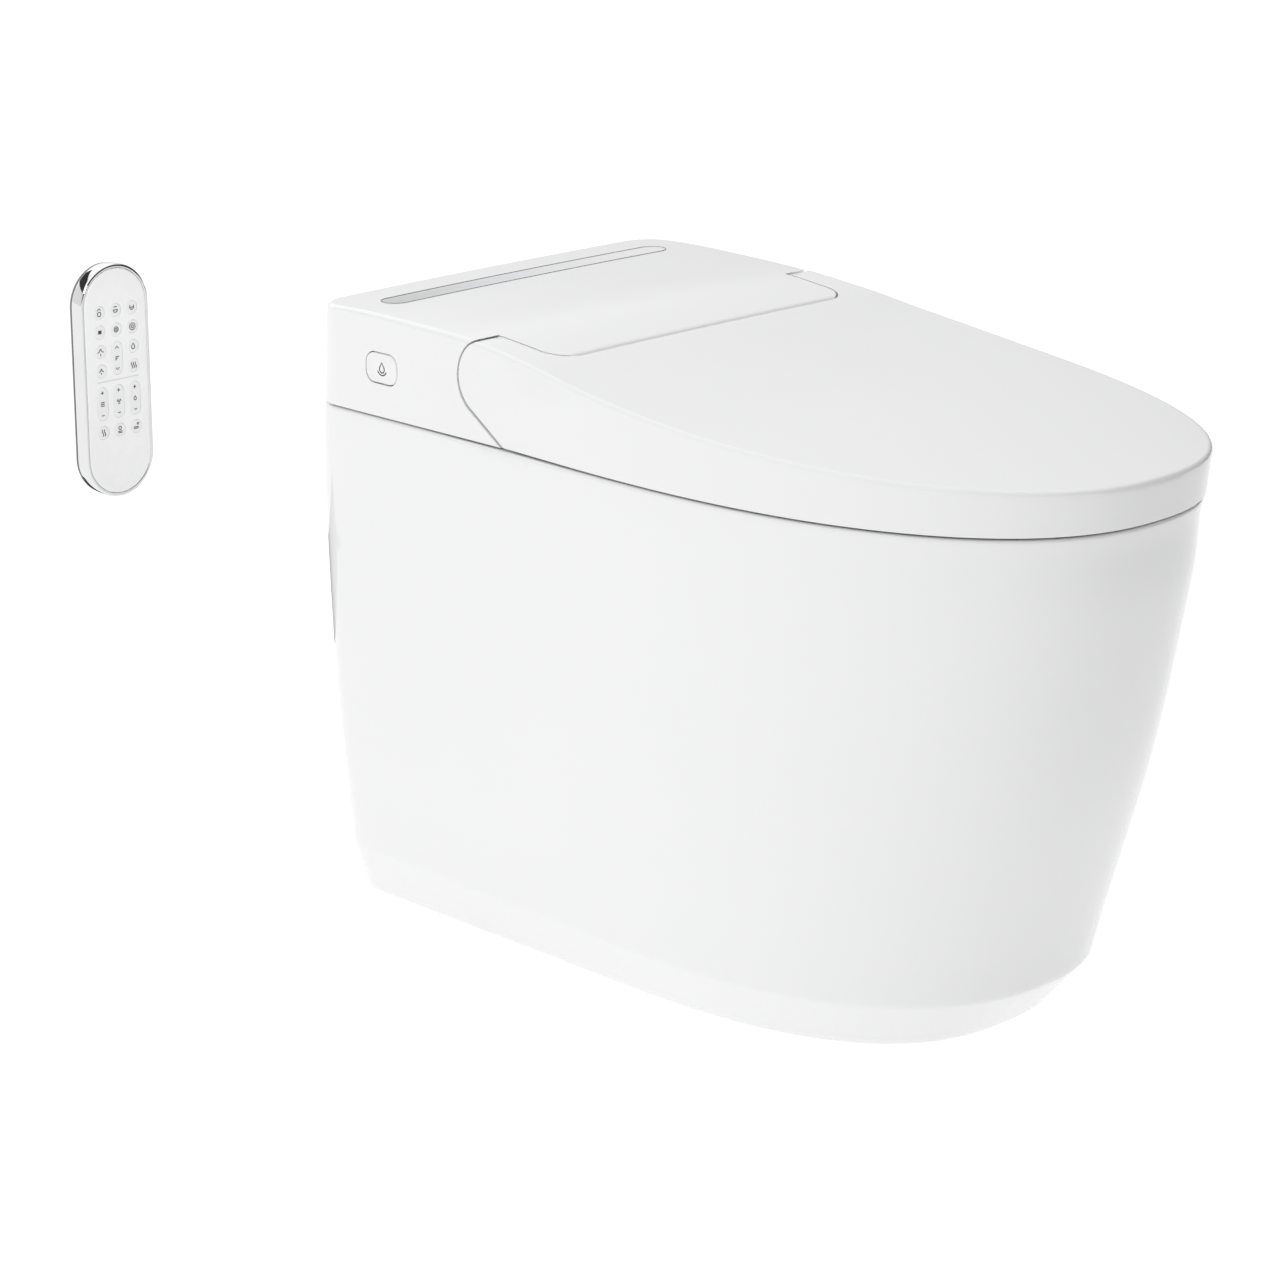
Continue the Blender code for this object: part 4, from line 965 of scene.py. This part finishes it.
def makeRemote():
    # a chrome body with a grey band of painted reflection along its back edge, a face set into its front, and keys
    # with raised signs
    x, z, back, rim, face = (remote[key] for key in ("x", "z", "back", "rim", "face"))
    half, recess = np.array(remote["half"]), remote["recess"]
    body = padSolid("remoteBody", "Y", (x, z), half, half[0],
                    [(3.2, back), (1.9, back - 0.3), (1.1, back - 1.2), (0.15, back - 3.4), (0, back - 3.9),
                     (0, rim + 1.5), (0.25, rim + 0.6), (0.8, rim + 0.12), (1.4, rim), (2.3, rim), (2.7, rim + 0.15),
                     (recess, rim + 0.5), (recess, -16.2), (5.0, -16.2), (5.0, -8)], 26)
    carve(body, [box((x - 8.6, -12, 450), (x + 8.6, 0, 480.35)), box((x - 12, -12, 388), (x + 12, 0, 426))])
    dress(body, "chrome", "remote", ["remote_body"], 40)
    # a grey band along the back edge: a painted reflection, standing for the dark that the chrome edge mirrors
    outline = roundBox((x, z), half - remote["darkEdgeInset"], half[0] - remote["darkEdgeInset"], 26)
    marks("remoteDarkEdgeBand", "Y", (0, 0), (back - 0.2, back - 1.3), [closedLine(outline, 7.0)], 0.9, "remote",
          "greyPlastic")
    trim = recess + remote["gap"]
    plate = padSolid("remoteFace", "Y", (x, z), half - trim, half[0] - trim,
                     [(0, -16.6), (0, face + 0.5), (0.12, face + 0.22), (0.45, face + 0.05), (1.0, face)], 26)
    gap = remote["keyGap"]
    carve(plate, [prism(roundBox(place, np.array(size) + gap, remote["keyRadius"] + gap, 9), "Y", -30, 0)
                  for _, place, size in keyPlaces()])
    dress(plate, "faceSkin", "remote", ["remote_face"])
    for name, place, size in keyPlaces():
        made = padSolid(name.replace("_", ""), "Y", place, size, remote["keyRadius"],
                        [(0, -15.8), (0, face + 0.1), (0.06, face + 0.02), (0.3, face - 0.06), (0.8, face - 0.1),
                         (2.0, face - 0.06), (3.4, face - 0.03), (4.6, face - 0.02)], 9)
        dress(made, "keySkin", name, [name], 50)
        sign = moved(keySigns[name], size=remote["signSize" if "key" in name else "longSignSize"])
        marks(name.replace("_", "") + "Sign", "Y", place, (face + 0.1, face - 0.16), sign, remote["signLine"], name)
    marks("remoteLine", "Y", (x, z + 1.5), (face + 0.1, face - 0.04), [line((-19, 0), (19, 0))], 0.9, "remote",
          "paleInk")


def makeHolder():
    # a wall plate with a countersunk screw hole and a peg
    x = remote["x"]
    made = padSolid("holderPlate", "Y", (x, 473.5), (18, 26.5), 4, [(0, 0), (0, -3.9), (0.3, -4.6), (1.0, -4.9)], 8)
    peg = padSolid("tool", "Y", (x, 477), (8, 3), 1.2, [(0, -3), (0, -7.6), (0.2, -8.0), (0.6, -8.2)], 6)
    carve(made, [rod((x, -6, 456), (x, 1, 456), 2.2), rod((x, -4.91, 456), (x, -3.4, 456), 4.0)], joins=[peg])
    return dress(made, "whitePlastic", "toilet", ["wall_holder"])


makeRemote()
makeHolder()
print("remote made")

# wash arms

wash = {"tip": (-256, 393), "tilt": math.radians(20), "length": 88, "radius": 6.5, "x": 15}


def makeWashArm(name, side, body, node, sprays):
    # a round arm with a domed tip, ring grooves and spray holes near its tip
    y, z = wash["tip"]
    tilt, radius = wash["tilt"], wash["radius"]
    along = (0, math.cos(tilt), math.sin(tilt))
    groove = radius - 0.35
    profile = [(0, radius * 0.55), (0.3, radius * 0.8), (1.0, radius * 0.94), (2.2, radius), (16, radius),
               (16.3, groove), (17.1, groove), (17.4, radius), (70, radius), (70.3, groove), (71.5, groove),
               (71.8, radius), (wash["length"] - 0.6, radius), (wash["length"], radius - 0.6)]
    start = Vector((side * wash["x"], y, z))
    made = turned(name, start, along, profile, 40)
    up = Vector((0, -math.sin(tilt), math.cos(tilt)))
    holes = []
    for count in range(sprays):
        at = start + Vector(along) * (7 + 4.5 * count)
        holes.append(rod(at + up * (radius - 1.5), at + up * (radius + 4), 1.1, 16))
    carve(made, holes)
    return dress(made, "whitePlastic", body, [node])


makeWashArm("rearWashArm", -1, "rear_wash", "rear_wash_nozzle", 1)
makeWashArm("frontWashArm", 1, "front_wash", "front_wash_nozzle", 2)
print("wash arms made")

# finishes on the pieces that keep their own shape

keptFinishes = {
    "greyPlastic": ("chassis_tray", "lid_damper", "seat_damper", "nozzle_guide", "solenoid_valve", "mains_gland",
                    "fan_housing", "power_supply"),
    "whitePlastic": ("seat_base", "water_heater", "fan_impeller", "deodoriser_filter", "battery_cover"),
    "rubber": ("seat_buffer_rear_left", "seat_buffer_rear_right", "seat_buffer_front_left",
               "seat_buffer_front_right", "lid_buffer_left", "lid_buffer_right", "nozzle_drive_wheel"),
    "shell": ("nozzle_shutter", "dryer_flap"),
    "steel": ("hinge_pin_left", "hinge_pin_right", "nozzle_motor", "water_pump"),
    "brass": ("water_inlet",), "circuit": ("control_board", "remote_board"), "heaterFoil": ("seat_heater",)}


def dressKept():
    for finish, names in keptFinishes.items():
        for name in names:
            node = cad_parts[name]
            node.data.materials.clear()
            node.data.materials.append(material[finish])


dressKept()
print("kept pieces dressed")
